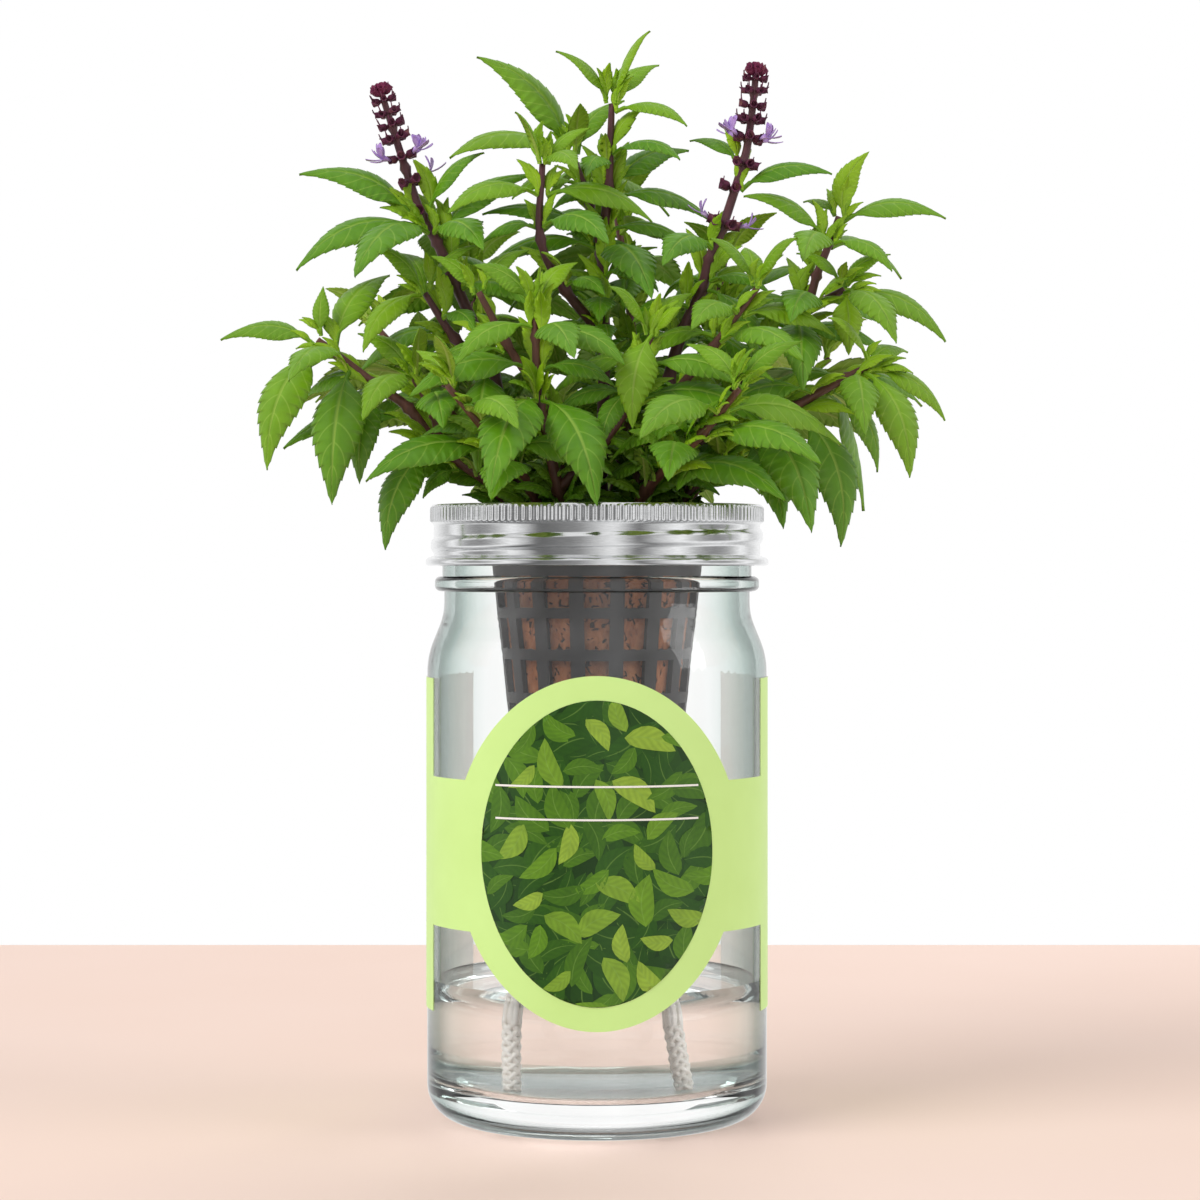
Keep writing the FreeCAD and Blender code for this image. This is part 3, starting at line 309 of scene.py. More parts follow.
def spots(sections):
    """Points over a leaf's blade, to keep other leaves away from."""
    found = []
    for (centre, across, face, reach, camber), (following, *_) in zip(sections[2:], sections[3:]):
        for share in (-1, -.66, -.33, 0, .33, .66, 1):
            spot = plus(plus(centre, across, reach * share), face, -camber * share * share)
            found += [plus(spot, plus(following, centre, -1), step) for step in (0, .33, .66)]
    return found


def stem_radius(where, route, main):
    """The radius of a main stem or a side shoot at a place along its route."""
    first = 0 if main else SHOOT_SHARE
    share = first + (1 - first) * where / (len(route) - 1)
    return STEM_RADIUS + (SHOOT_RADIUS - STEM_RADIUS) * share


def stalk_spots(sections):
    """The middle and the two edges of a leaf's sections along its stalk."""
    found = []
    for centre, across, face, reach, camber in sections[:STALK_SECTIONS]:
        found += [centre, plus(plus(centre, across, reach), face, -camber),
                  plus(plus(centre, across, -reach), face, -camber)]
    return found


def stem_bars(routes):
    """A stem's lengths and swollen joints: start, run, and the radius at each end."""
    bars = []
    for route in routes:
        for n, (start, end) in enumerate(zip(route, route[1:])):
            first, last = (stem_radius(n + step, route, route is routes[0]) for step in (0, 1))
            bars.append((start, plus(end, start, -1), first, last))
            if n:
                bars.append((start, (0, 0, 0), first + STEM_JOINT, first + STEM_JOINT))
    return bars


def stands_off(bars, found, base):
    """Whether a leaf's spots near its base are farther from its stem than half its thickness."""
    for spot in found:
        if math.dist(spot, base) < NEAR_GAPS * LEAF_HALF:
            for start, run, first, last in bars:
                away = plus(spot, start, -1)
                share = min(1, max(0, dot(away, run) / (dot(run, run) or 1)))
                reach = first + (last - first) * share + LEAF_HALF
                if math.dist(away, tuple(p * share for p in run)) < reach:
                    return False
    return True


def grow():
    """All stems and leaves, by stem: routes, and leaves with their stem's direction and place."""
    def place(shares, spread=REACH):
        return (shares[0] * spread, shares[1] * spread, PLUG_TOP + shares[2] * REACH)

    def rooted(shares):
        return place(shares, MOUTH if shares[2] < ROOT_HEIGHT_SHARE else REACH)

    stems = {}
    for name, routes in STEM_SHARES.items():
        stems[name] = [[rooted(shares) for shares in route] for route in routes]
    bars = {name: stem_bars(routes) for name, routes in stems.items()}
    leaves = {name: [] for name in stems}
    taken = {}

    def cell(spot):
        return tuple(math.floor(p / LEAF_SPACING) for p in spot)

    def clear(name, base, found):
        for spot in found:
            if spot[2] < GUARD_HEIGHT and math.hypot(spot[0], spot[1]) < GUARD_RADIUS:
                return False
            own = name if math.dist(spot, base) < STALK_REACH else None
            spans = [(n - 1, n, n + 1) for n in cell(spot)]
            if any(taken.get(near, own) != own for near in itertools.product(*spans)):
                return False
        return True

    def add(name, route, where, tip, width):
        """Grow a leaf unless another is in its way."""
        point, heading = along(route, where)
        main = route is stems[name][0]
        radius = stem_radius(where, route, main) + STEM_JOINT * (abs(where - round(where)) < .1)
        aside = unit(plus(plus(tip, point, -1), heading, -dot(plus(tip, point, -1), heading)))
        for share in GAP_SHARES:
            base = plus(point, aside, radius + LEAF_GAP * share)
            sections = leaf_sections(base, tip, width)
            found = spots(sections)
            if not clear(name, base, found):
                return False
            if stands_off(bars[name], stalk_spots(sections) + found, base):
                leaves[name].append((base, tip, width, heading, where / (len(route) - 1)))
                for spot in found:
                    taken[cell(spot)] = (name, len(leaves[name]))
                return True
        return False

    for name, routes in stems.items():
        for route in routes:
            for n in range(1, STEM_STEPS * (len(route) - 1)):
                taken[cell(along(route, n / STEM_STEPS)[0])] = name
    for name, rows in LEAF_SHARES.items():
        for branch, where, x, y, z, width in rows:
            for nearer in NEARER_SHARES:
                if add(name, stems[name][branch], where, place((x, y + nearer, z)), width * REACH):
                    break
    shoots = []
    for turn, (name, routes) in enumerate(stems.items()):
        for route in routes:
            bare = name in WHORL_PLACES and route is routes[0]
            flowering = WHORL_PLACES[name][0] if bare else len(route)
            for n, where in enumerate(steps_up(route, FILL_STEP_SHARE * REACH)):
                if where < flowering and along(route, where)[0][2] > PLUG_TOP + FILL_LOW_SHARE * REACH:
                    shoots.append((n, turn, name, route, min(where, len(route) - 1.01)))
    for n, turn, name, route, where in sorted(shoots, key=lambda shoot: shoot[:2]):
        point = along(route, where)[0]
        height = (point[2] - PLUG_TOP) / REACH
        fill_share = FILL_LENGTH_SHARE - FILL_FALL_SHARE * height
        length = REACH * (fill_share if n else CROWN_LENGTH_SHARE)
        rise = FILL_RISE_SHARE if n else CROWN_RISE_SHARE
        for side in range(2 if n else 4):
            angle = TURN_STEP * turn + math.pi / 2 * (n + 2 * side if n else side)
            for share, aside in FILL_TRIES:
                way = unit((math.cos(angle + aside), math.sin(angle + aside), rise))
                if add(name, route, where, plus(point, way, length * share), 0):
                    break
    return stems, leaves


def add_object(name, data):
    """A new object in the scene."""
    made = bpy.data.objects.new(name, data)
    bpy.context.scene.collection.objects.link(made)
    return made


# The plain tone of a mesh: youth or bark, shade, and white ink
DULL = (0, 0, 0, 1)


class Shape:
    """Points and faces that grow into one mesh."""

    def __init__(self):
        self.points, self.faces, self.marks, self.uvs, self.tones = [], [], [], [], []
        self.count = 0

    def grid(self, points, mark=0, around=False, uvs=None, tone=DULL):
        """Faces over rows and columns of points."""
        points = np.asarray(points, float)
        rows, columns = points.shape[:2]
        first = self.count
        self.points.append(points.reshape(-1, 3))
        self.uvs.append(np.zeros((rows * columns, 2)) if uvs is None else np.reshape(uvs, (-1, 2)))
        self.tones.append(np.tile(tone, (rows * columns, 1)))
        self.count += rows * columns
        for row in range(rows - 1):
            for column in range(columns if around else columns - 1):
                right = (column + 1) % columns
                low, high = first + row * columns, first + (row + 1) * columns
                self.faces.append((low + column, low + right, high + right, high + column))
                self.marks.append(mark)
        return first

    def fill(self, corners, mark=0):
        self.faces.append(tuple(corners))
        self.marks.append(mark)

    def closed(self, rows, uvs=None, tone=DULL):
        """Rings of points, with a face over each end."""
        sides = len(rows[0])
        first = self.grid(rows, around=True, uvs=uvs, tone=tone)
        last = first + (len(rows) - 1) * sides
        self.fill([first + k for k in reversed(range(sides))])
        self.fill([last + k for k in range(sides)])

    def slab(self, upper, under, marks=(0, 0, 0), uvs=None, tone=DULL):
        """Two sheets of points, joined all round; the marks are for top, underside and edge."""
        face, back, edge = marks
        rows, columns = np.shape(upper)[:2]
        uvs = np.zeros((rows, columns, 2)) if uvs is None else uvs
        first = self.grid(upper, face, uvs=uvs, tone=tone)
        second = self.grid(under[:, ::-1], back, uvs=uvs[:, ::-1], tone=tone)
        last, top = columns - 1, (rows - 1) * columns
        for low in range(0, top, columns):
            high = low + columns
            self.fill((first + low, first + high, second + high + last, second + low + last), edge)
            self.fill((first + low + last, second + low, second + high, first + high + last), edge)
        self.fill([first + n for n in range(columns)] + [second + n for n in range(columns)], back)
        ends = range(last, -1, -1)
        self.fill([second + top + n for n in ends] + [first + top + n for n in ends], edge)

    def piece(self, name, body, materials):
        """The finished piece, riding on a body."""
        mesh = bpy.data.meshes.new(name)
        mesh.from_pydata((np.concatenate(self.points) * MM).tolist(), [], self.faces)
        for each in materials:
            mesh.materials.append(each)
        mesh.polygons.foreach_set("material_index", self.marks)
        mesh.polygons.foreach_set("use_smooth", [True] * len(self.faces))
        corners = np.zeros(len(mesh.loops), int)
        mesh.loops.foreach_get("vertex_index", corners)
        layer = mesh.uv_layers.new(name="surface")
        layer.data.foreach_set("uv", np.concatenate(self.uvs)[corners].ravel())
        tones = mesh.color_attributes.new("tone", "FLOAT_COLOR", "POINT")
        tones.data.foreach_set("color", np.concatenate(self.tones).astype(np.float32).ravel())
        mesh.validate()
        made = add_object(name, mesh)
        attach(made, body)
        return made


def material(name, **sockets):
    """A material whose shader has these constant values."""
    made = bpy.data.materials.new(name)
    made.use_nodes = True
    shader = made.node_tree.nodes["Principled BSDF"]
    for socket, amount in sockets.items():
        shader.inputs[socket.replace("_", " ")].default_value = amount
    return made, made.node_tree, shader


def add_node(tree, kind, inputs=(), **settings):
    """A node with its settings, and its inputs set to values or joined to other nodes."""
    made = tree.nodes.new("ShaderNode" + kind)
    for name, setting in settings.items():
        setattr(made, name, setting)
    for key, source in dict(inputs).items():
        if isinstance(source, bpy.types.NodeSocket):
            tree.links.new(source, made.inputs[key])
        else:
            made.inputs[key].default_value = source
    return made


def math_node(tree, operation, *values):
    return add_node(tree, "Math", enumerate(values), operation=operation).outputs[0]


def mixed(tree, factor, first, second, blend="MIX"):
    """Two colours mixed by a factor."""
    return add_node(tree, "Mix", {0: factor, 6: first, 7: second}, data_type="RGBA",
                    blend_type=blend).outputs[2]


def ramp(tree, factor, *stops):
    """A colour ramp through (place, colour) stops."""
    made = add_node(tree, "ValToRGB", {0: factor})
    elements = made.color_ramp.elements
    while len(elements) < len(stops):
        elements.new(.5)
    for element, (place, colour) in zip(elements, stops):
        element.position, element.color = place, colour
    return made.outputs[0]


def noise(tree, where, scale, detail=3.0, rough=.55, squash=None):
    if squash:
        where = add_node(tree, "Mapping", {0: where, 3: squash}).outputs[0]
    return add_node(tree, "TexNoise", {"Vector": where, "Scale": scale, "Detail": detail,
                                       "Roughness": rough}).outputs["Fac"]


def bump(tree, shader, height, strength, distance):
    made = add_node(tree, "Bump", {"Height": height, "Strength": strength, "Distance": distance})
    tree.links.new(made.outputs[0], shader.inputs["Normal"])


def place_of(tree):
    return add_node(tree, "TexCoord").outputs["Object"]


def clouded(tree, where, scale, low, high):
    """Two colours in soft clouds."""
    return ramp(tree, noise(tree, where, scale), (.3, low), (.7, high))


def scaled(tree, value, by, more):
    return math_node(tree, "MULTIPLY_ADD", value, by, more)


def tones_of(tree):
    """The red, green and blue of a mesh's tone."""
    tone = add_node(tree, "Attribute", attribute_name="tone")
    return add_node(tree, "SeparateColor", {0: tone.outputs["Color"]}).outputs


def leaf_places(tree):
    """How far a spot lies from a leaf's middle, and how far along the leaf."""
    uv = add_node(tree, "UVMap", uv_map="surface").outputs[0]
    parts = add_node(tree, "SeparateXYZ", {0: uv}).outputs
    return math_node(tree, "ABSOLUTE", scaled(tree, parts[0], 2.0, -1.0)), parts[1]


def paint(tree, shader, colour, gloss=None):
    """Join a colour, and a roughness if there is one, to a shader."""
    tree.links.new(colour, shader.inputs["Base Color"])
    if gloss:
        tree.links.new(gloss, shader.inputs["Roughness"])


def grey(level):
    return (level, level, level, 1)


WHITE, BLACK = grey(1), grey(0)
# Side veins on half a leaf, and how far they sweep towards its tip
LATERALS = 6.5
VEIN_SWEEP = .20


def leaf_material(name, deep, pale, young, vein, roughness, vein_share):
    """Leaf tissue in two greens, yellower when young, with a midrib and arching side veins."""
    made, tree, shader = material(name, Specular_IOR_Level=.6)
    where = place_of(tree)
    side, along_leaf = leaf_places(tree)
    swept = math_node(tree, "MULTIPLY", math_node(tree, "POWER", side, 1.4), -VEIN_SWEEP)
    step = math_node(tree, "MULTIPLY", math_node(tree, "ADD", along_leaf, swept), LATERALS)
    off = math_node(tree, "MULTIPLY", math_node(tree, "PINGPONG", step, .5), 14.0)
    line = math_node(tree, "SUBTRACT", 1.0, math_node(tree, "SMOOTH_MIN", off, 1.0, .3))
    lateral = math_node(tree, "MULTIPLY", math_node(tree, "MAXIMUM", line, 0.0), .55)
    rib = math_node(tree, "MAXIMUM", scaled(tree, side, -16.0, 1.25), 0.0)
    veins = math_node(tree, "MINIMUM", math_node(tree, "MAXIMUM", rib, lateral), 1.0)
    tones = tones_of(tree)
    tissue = mixed(tree, noise(tree, where, 160.0), deep, pale)
    tissue = mixed(tree, tones[0], tissue, young)
    darker = mixed(tree, tones[1], tissue, deep)
    colour = mixed(tree, math_node(tree, "MULTIPLY", veins, vein_share), darker, vein)
    paint(tree, shader, colour, scaled(tree, noise(tree, where, 900.0), .22, roughness - .11))
    bump(tree, shader, noise(tree, where, 1400.0), .25, .0002)
    return made


leaf_top = leaf_material("leaf_upper", srgb(66, 120, 6), srgb(118, 172, 26), srgb(158, 198, 24),
                         srgb(176, 208, 92), .50, .6)
leaf_under = leaf_material("leaf_under", srgb(112, 156, 34), srgb(142, 182, 60), srgb(172, 202, 52),
                           srgb(188, 210, 112), .6, .8)
leaf_edge, tree, shader = material("leaf_edge", Roughness=.75, Specular_IOR_Level=.2)
paint(tree, shader, clouded(tree, place_of(tree), 300.0, srgb(92, 140, 16), srgb(120, 166, 30)))

# A leaf: the teeth on each edge, the depth of a tooth, and the columns of points on each half
TEETH = 11
TOOTH_DEPTH = .085
TOOTH_STEPS = (.0, .45, .8, 1.0)
HALF_COLUMNS = (.06, .25, .5, .78, 1.0)
# Shares of a leaf's length: its stalk, and where its teeth start and how far they reach
STALK_SHARE = .12
TEETH_START, TEETH_SPAN = .14, .80
# Half a stalk's width, the rib's height, and shares of the half-width: waves, quilting, groove
STALK_HALF, RIB_HEIGHT = .55, .5
WAVE_SHARE, QUILT_SHARE, GROOVE_SHARE = .025, .03, .06


def through(places, shares, wanted):
    """A smooth curve through given points."""
    places, shares = np.asarray(places, float), np.asarray(shares, float)
    slopes = np.gradient(shares, places)
    n = np.clip(np.searchsorted(places, wanted, side="right") - 1, 0, len(places) - 2)
    step = places[n + 1] - places[n]
    t = (wanted - places[n]) / step
    return ((2 * t ** 3 - 3 * t ** 2 + 1) * shares[n] + (t ** 3 - 2 * t ** 2 + t) * step * slopes[n]
            + (3 * t ** 2 - 2 * t ** 3) * shares[n + 1] + (t ** 3 - t ** 2) * step * slopes[n + 1])


def unit_rows(rows):
    return rows / np.linalg.norm(rows, axis=-1, keepdims=True)


def angles_round(count):
    return np.arange(count) * 2 * math.pi / count


def level_ring(radius, angles, height):
    """Points round the upright axis."""
    return np.stack([radius * np.cos(angles), radius * np.sin(angles), 0 * angles + height], -1)


def across_line(line, aside):
    """Two directions across a line at each of its points, carried along it without a turn."""
    headings = unit_rows(np.gradient(line, axis=0))
    aside = np.cross(headings[0], aside)
    sides = []
    for heading in headings:
        aside = aside - heading * (aside @ heading)
        aside = aside / np.linalg.norm(aside)
        sides.append(aside)
    return np.array(sides), np.cross(headings, sides)


def blade(shape, base, tip, width, tone, teeth=TEETH, thick=.34, seed=0):
    """A leaf: stalk, toothed and cambered blade with tissue raised between its veins, and underside."""
    bend, side, half = leaf_line(base, tip, width)
    base, bend, tip, side = (np.array(p, float) for p in (base, bend, tip, side))
    steps = np.array([(n + f) / teeth for n in range(teeth) for f in TOOTH_STEPS])
    toothed = TEETH_START + TEETH_SPAN * steps + np.tile([.003, 0, 0, -.001], teeth)
    places = np.concatenate([np.linspace(0, STALK_SHARE, 4), toothed, [.965, 1.0]])
    bites, heads = (np.concatenate([np.zeros(4), np.tile(tooth, teeth), [0, 0]])
                    for tooth in (1 - np.array(TOOTH_STEPS), [0, .1, .5, 1.0]))
    t = places[:, None]
    start, end = base + (bend - base) * t, bend + (tip - bend) * t
    centre = start + (end - start) * t
    heading = unit_rows(end - start)
    across = unit_rows(side - heading * (heading @ side)[:, None])
    face = np.cross(across, heading)
    shares = np.array(BLADE_SHARES)
    reach = np.maximum(half * through(shares[:, 0], shares[:, 1], places), 0)
    reach[-1] = .02
    stalk_half = STALK_HALF * np.clip((2 * STALK_SHARE - places) / .1, 0, 1)
    reach = np.maximum(reach * (places > STALK_SHARE), stalk_half)
    columns = np.array([-c for c in reversed(HALF_COLUMNS)] + [0] + list(HALF_COLUMNS))
    outer = np.abs(columns) ** 4
    wide = reach[:, None] * (1 - TOOTH_DEPTH * bites[:, None] * outer)
    along_blade = np.clip((places - STALK_SHARE) / (1 - STALK_SHARE), 0, 1)
    length = np.linalg.norm(tip - base)
    waves = WAVE_SHARE * half * np.sin(along_blade * 9 + seed)[:, None] * columns * np.abs(columns)
    swept = along_blade[:, None] - VEIN_SWEEP * np.abs(columns) ** 1.4
    between = np.abs(np.sin(math.pi * swept * LATERALS)) ** .7
    middle = np.abs(columns) < .01
    onset = np.clip(along_blade * 6, 0, 1)[:, None]
    quilt = QUILT_SHARE * half * between * (1 - np.abs(columns) ** 3) * ~middle
    quilt *= onset * np.clip((1 - along_blade) * 4, 0, 1)[:, None]
    groove = -GROOVE_SHARE * half * middle * onset
    camber = CAMBER_SHARE * np.maximum(reach - stalk_half, 0)[:, None] * columns ** 2
    forward = heads[:, None] * outer * length * TEETH_SPAN / teeth * .22
    high = quilt + groove + waves - camber
    spread = (centre[:, None] + across[:, None] * (wide * columns)[..., None]
              + heading[:, None] * forward[..., None] + face[:, None] * high[..., None])
    bulk = np.where(places < TEETH_START, 2 * STALK_HALF, thick)[:, None]
    bulk = bulk * (1 - .75 * np.abs(columns) ** 6)
    ribs = RIB_HEIGHT * middle * ((1 - along_blade) * (places > STALK_SHARE))[:, None]
    upper = spread + face[:, None] * (bulk / 2)[..., None]
    under = spread - face[:, None] * (bulk / 2 + ribs)[..., None]
    uvs = np.stack(np.broadcast_arrays((columns + 1) / 2, along_blade[:, None]), -1)
    shape.slab(upper, under, (0, 1, 2), uvs, tone)


def spline(points, per=6):
    """A smooth line through points, with the place along the route of each step."""
    points = np.array(points, float)
    padded = np.vstack([2 * points[0] - points[1], points, 2 * points[-1] - points[-2]])
    line, places = [], []
    for n in range(len(points) - 1):
        a, b, c, d = padded[n:n + 4]
        for k in range(per):
            t = k / per
            line.append(.5 * (2 * b + (c - a) * t + (2 * a - 5 * b + 4 * c - d) * t * t
                              + (3 * b - a - 3 * c + d) * t ** 3))
            places.append(n + t)
    return np.array(line + [points[-1]]), np.array(places + [len(points) - 1])


def tube(shape, line, radii, sides=10, flute=0.0, tone=DULL):
    """A tube round a line of points, closed at both ends."""
    line = np.asarray(line, float)
    start = unit_rows(line[1] - line[0])
    asides, others = across_line(line, (0, 1, 0) if abs(start[1]) < .9 else (1, 0, 0))
    angles = angles_round(sides)
    ring = asides[:, None] * np.cos(angles)[:, None] + others[:, None] * np.sin(angles)[:, None]
    reach = np.broadcast_to(radii, len(line))[:, None] * (1 + flute * np.cos(4 * angles))
    uvs = [[(k / sides, n / len(line)) for k in range(sides)] for n in range(len(line))]
    shape.closed(line[:, None] + ring * reach[..., None], uvs, tone)


stem_skin, tree, shader = material("stem_skin", Specular_IOR_Level=.5)
tones = tones_of(tree)
streaks = noise(tree, place_of(tree), 700.0, squash=(1, 1, .06))
bark = mixed(tree, streaks, srgb(62, 34, 40), srgb(112, 70, 76))
woody = mixed(tree, streaks, srgb(74, 46, 34), srgb(134, 92, 66))
skin = mixed(tree, tones[0], woody, bark)
paint(tree, shader, skin, scaled(tree, streaks, .3, .3))
bump(tree, shader, streaks, .5, .0004)

stems, leaves = grow()
dice = random.Random(11)


def wander(size):
    return (dice.uniform(-size, size), dice.uniform(-size, size), dice.uniform(-size, size))


# Swollen joints: how far they swell and how far along; and the ridges round a stem
JOINT_SWELL, JOINT_SPAN = .5, .06
RIDGE_SHARE = .045


def make_stem(name, routes):
    """Smooth tapering stems with swollen joints and a ridge round each."""
    shape = Shape()
    for branch, route in enumerate(routes):
        line, places = spline(route, 8)
        radii = np.array([stem_radius(p, route, not branch) for p in places])
        off = np.abs(places - np.round(places))
        inner = (places > .5) & (places < len(route) - 1.2)
        swell = inner * JOINT_SWELL * np.exp(-(off / JOINT_SPAN) ** 2)
        heights = (line[:, 2] - PLUG_TOP) / REACH
        share = float(np.clip(heights.mean() * 1.6, 0, 1))
        tube(shape, line, radii + swell, sides=12, flute=RIDGE_SHARE,
             tone=(share, 0, 0, 1))
    made = shape.piece("stem_skin_" + name, "plug", [stem_skin])
    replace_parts(made, "stem_" + name)


def low_leaves(shape, route):
    """Small leaves near the foot of a stem, clear of the band."""
    for where in np.arange(*LOW_PLACES):
        point = along(route, where)[0]
        radius = stem_radius(where, route, True)
        for _ in range(2):
            angle = dice.uniform(0, 2 * math.pi)
            size = dice.uniform(*LOW_LENGTHS)
            way = unit((math.cos(angle), math.sin(angle), dice.uniform(-.1, .9)))
            base = plus(point, unit((way[0], way[1], 0)), radius * .8)
            tip = plus(base, way, size)
            marks = spots(leaf_sections(base, tip, 0))
            if all(z > CLEAR_HEIGHT or math.hypot(x, y) < CLEAR_RADIUS for x, y, z in marks):
                tone = (dice.uniform(0, .5), dice.uniform(0, .6), 0, 1)
                blade(shape, base, tip, 0, tone, teeth=6, thick=.3, seed=dice.uniform(0, 6))


def make_leaves(name, grown):
    """Every leaf of a stem, with the small new leaves in the angle between it and the stem."""
    shape = Shape()
    for base, tip, width, heading, place in grown:
        youth = max(0, min(1, (place - .72) * 2.4)) * dice.uniform(.4, 1)
        shade = dice.uniform(0, .45)
        blade(shape, base, tip, width, (youth, shade, 0, 1), seed=dice.uniform(0, 6))
        aside = unit(plus(tip, base, -1))
        for _ in range(dice.choice((1, 2, 3))):
            size = dice.uniform(*(END_LENGTHS if place > .8 else SIDE_LENGTHS))
            way = unit(plus(plus(plus(heading, heading, .4), aside, .5), wander(.55)))
            start = plus(base, plus(aside, heading), .4)
            tone = (dice.uniform(.5, 1), .1, 0, 1)
            blade(shape, start, plus(start, way, size), .34 * size, tone, teeth=4, thick=.3)
    low_leaves(shape, stems[name][0])
    made = shape.piece("foliage_" + name, "plug", [leaf_top, leaf_under, leaf_edge])
    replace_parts(made, "leaves_" + name)


for name in stems:
    make_stem(name, stems[name])
    make_leaves(name, leaves[name])


calyx_skin, tree, shader = material("calyx_skin", Roughness=.55, Specular_IOR_Level=.4)
where = place_of(tree)
purple = ramp(tree, noise(tree, where, 500.0), (.25, srgb(58, 22, 42)), (.55, srgb(104, 48, 76)),
              (.8, srgb(150, 104, 96)))
paint(tree, shader, mixed(tree, tones_of(tree)[0], purple, srgb(142, 40, 86)))
bump(tree, shader, noise(tree, where, 1500.0), .6, .0003)

petal_skin, tree, shader = material("petal_skin", Roughness=.6)
where = place_of(tree)
paint(tree, shader, ramp(tree, noise(tree, where, 350.0), (.3, srgb(178, 140, 218)),
                         (.6, srgb(198, 166, 230)), (.85, srgb(226, 208, 242))))
bump(tree, shader, noise(tree, where, 1200.0, squash=(1, 1, .2)), .4, .0002)

# A calyx's section from foot to mouth and back inside: shares of its length and of its mouth
BELL_SHARES = [(0, .25), (.12, .62), (.35, .98), (.62, 1.0), (.85, .92), (1, 1.08), (.96, .8), (.6, .6)]
BELL_SIDES = 12
# A petal's width along it, and a flower's lobes: lift, share aside and length
PETAL_SHARES = [(0, .35), (.25, .6), (.5, .85), (.75, 1.0), (.92, .75), (1, .25)]
PETAL_THICK = .16
LOBES = [(.9, -.45, 4.2), (.9, .45, 4.2), (.25, -.8, 4.0), (.25, .8, 4.0), (-.7, 0, 5.0)]
LOBE_WIDTH = 2.2
# The whorl above which every calyx has a thread, and the buds, their turn, and those with threads
LAST_PLAIN = 3
BUDS, BUD_TURN, THREADED_BUDS = 30, 2.4, 12


def frame_round(way):
    """Two directions square to a way."""
    way = np.array(way, float)
    across = np.cross(way, (0, 0, 1) if abs(way[2]) < .9 else (1, 0, 0))
    across /= np.linalg.norm(across)
    return across, np.cross(way, across)


def bell(shape, foot, way, length, mouth, tone=DULL):
    """A calyx: a ribbed bell with a rounded upper lip and short lower teeth."""
    way = np.array(way, float)
    across, other = frame_round(way)
    upward = math.atan2(other[2], across[2])
    angles = angles_round(BELL_SIDES)
    ring = np.outer(np.cos(angles), across) + np.outer(np.sin(angles), other)
    ribs = 1 + .06 * np.cos(6 * angles)
    rows = []
    for height, radius in BELL_SHARES:
        lip = .28 * length * np.maximum(np.cos(angles - upward), 0) ** 2 * (height > .84)
        rise = np.outer(height * length + lip, way)
        rows.append(np.array(foot) + rise + ring * (radius * mouth * ribs)[:, None])
    shape.closed(rows, tone=tone)


def petal(shape, foot, way, up, length, width):
    """A narrow rounded lobe that curls back, with some thickness."""
    foot, way, up = (np.array(p, float) for p in (foot, way, up))
    across = np.cross(way, up)
    across /= np.linalg.norm(across)
    rows = []
    for t, share in PETAL_SHARES:
        centre = foot + way * length * t + up * length * .35 * t * t
        rows.append([centre + (across * share * s / 2 - up * .12 * abs(s)) * width
                     for s in (-1, -.4, .4, 1)])
    shape.slab(rows, np.array(rows) - up * PETAL_THICK)


def flower(shape, foot, way, scale):
    """An open two-lipped flower: a short tube, four upper lobes and a longer lower one."""
    upper = unit(plus((0, 0, 1), way, -way[2]))
    aslant = cross(way, upper)
    tube(shape, [plus(foot, way, s * scale) for s in (0, 1.2, 2.4)], (.5, .6, .8), sides=8)
    mouth = plus(foot, way, 2.2 * scale)
    for lift, share, size in LOBES:
        lobe = unit(plus(plus(way, upper, lift), aslant, share))
        petal(shape, mouth, lobe, unit(cross(aslant, lobe)), size * scale, LOBE_WIDTH * scale)


def hook(shape, foot, way, heading, length):
    """A dark thread that leaves a whorl outwards and bends up."""
    steps = np.linspace(0, 1, 7)[:, None]
    line = np.array(foot) + np.array(way) * length * (steps - .45 * steps ** 2) \
        + np.array(heading) * length * .75 * steps ** 2
    tube(shape, line, np.linspace(.32, .15, 7), sides=6)


def free(near, start, way, length, radius):
    """Whether a cone of this size would stand clear of the leaves."""
    marks = [plus(start, way, length * share) for share in (0, .5, 1)]
    return all(math.dist(spot, mark) > radius + 2 * LEAF_GAP for spot in near for mark in marks)


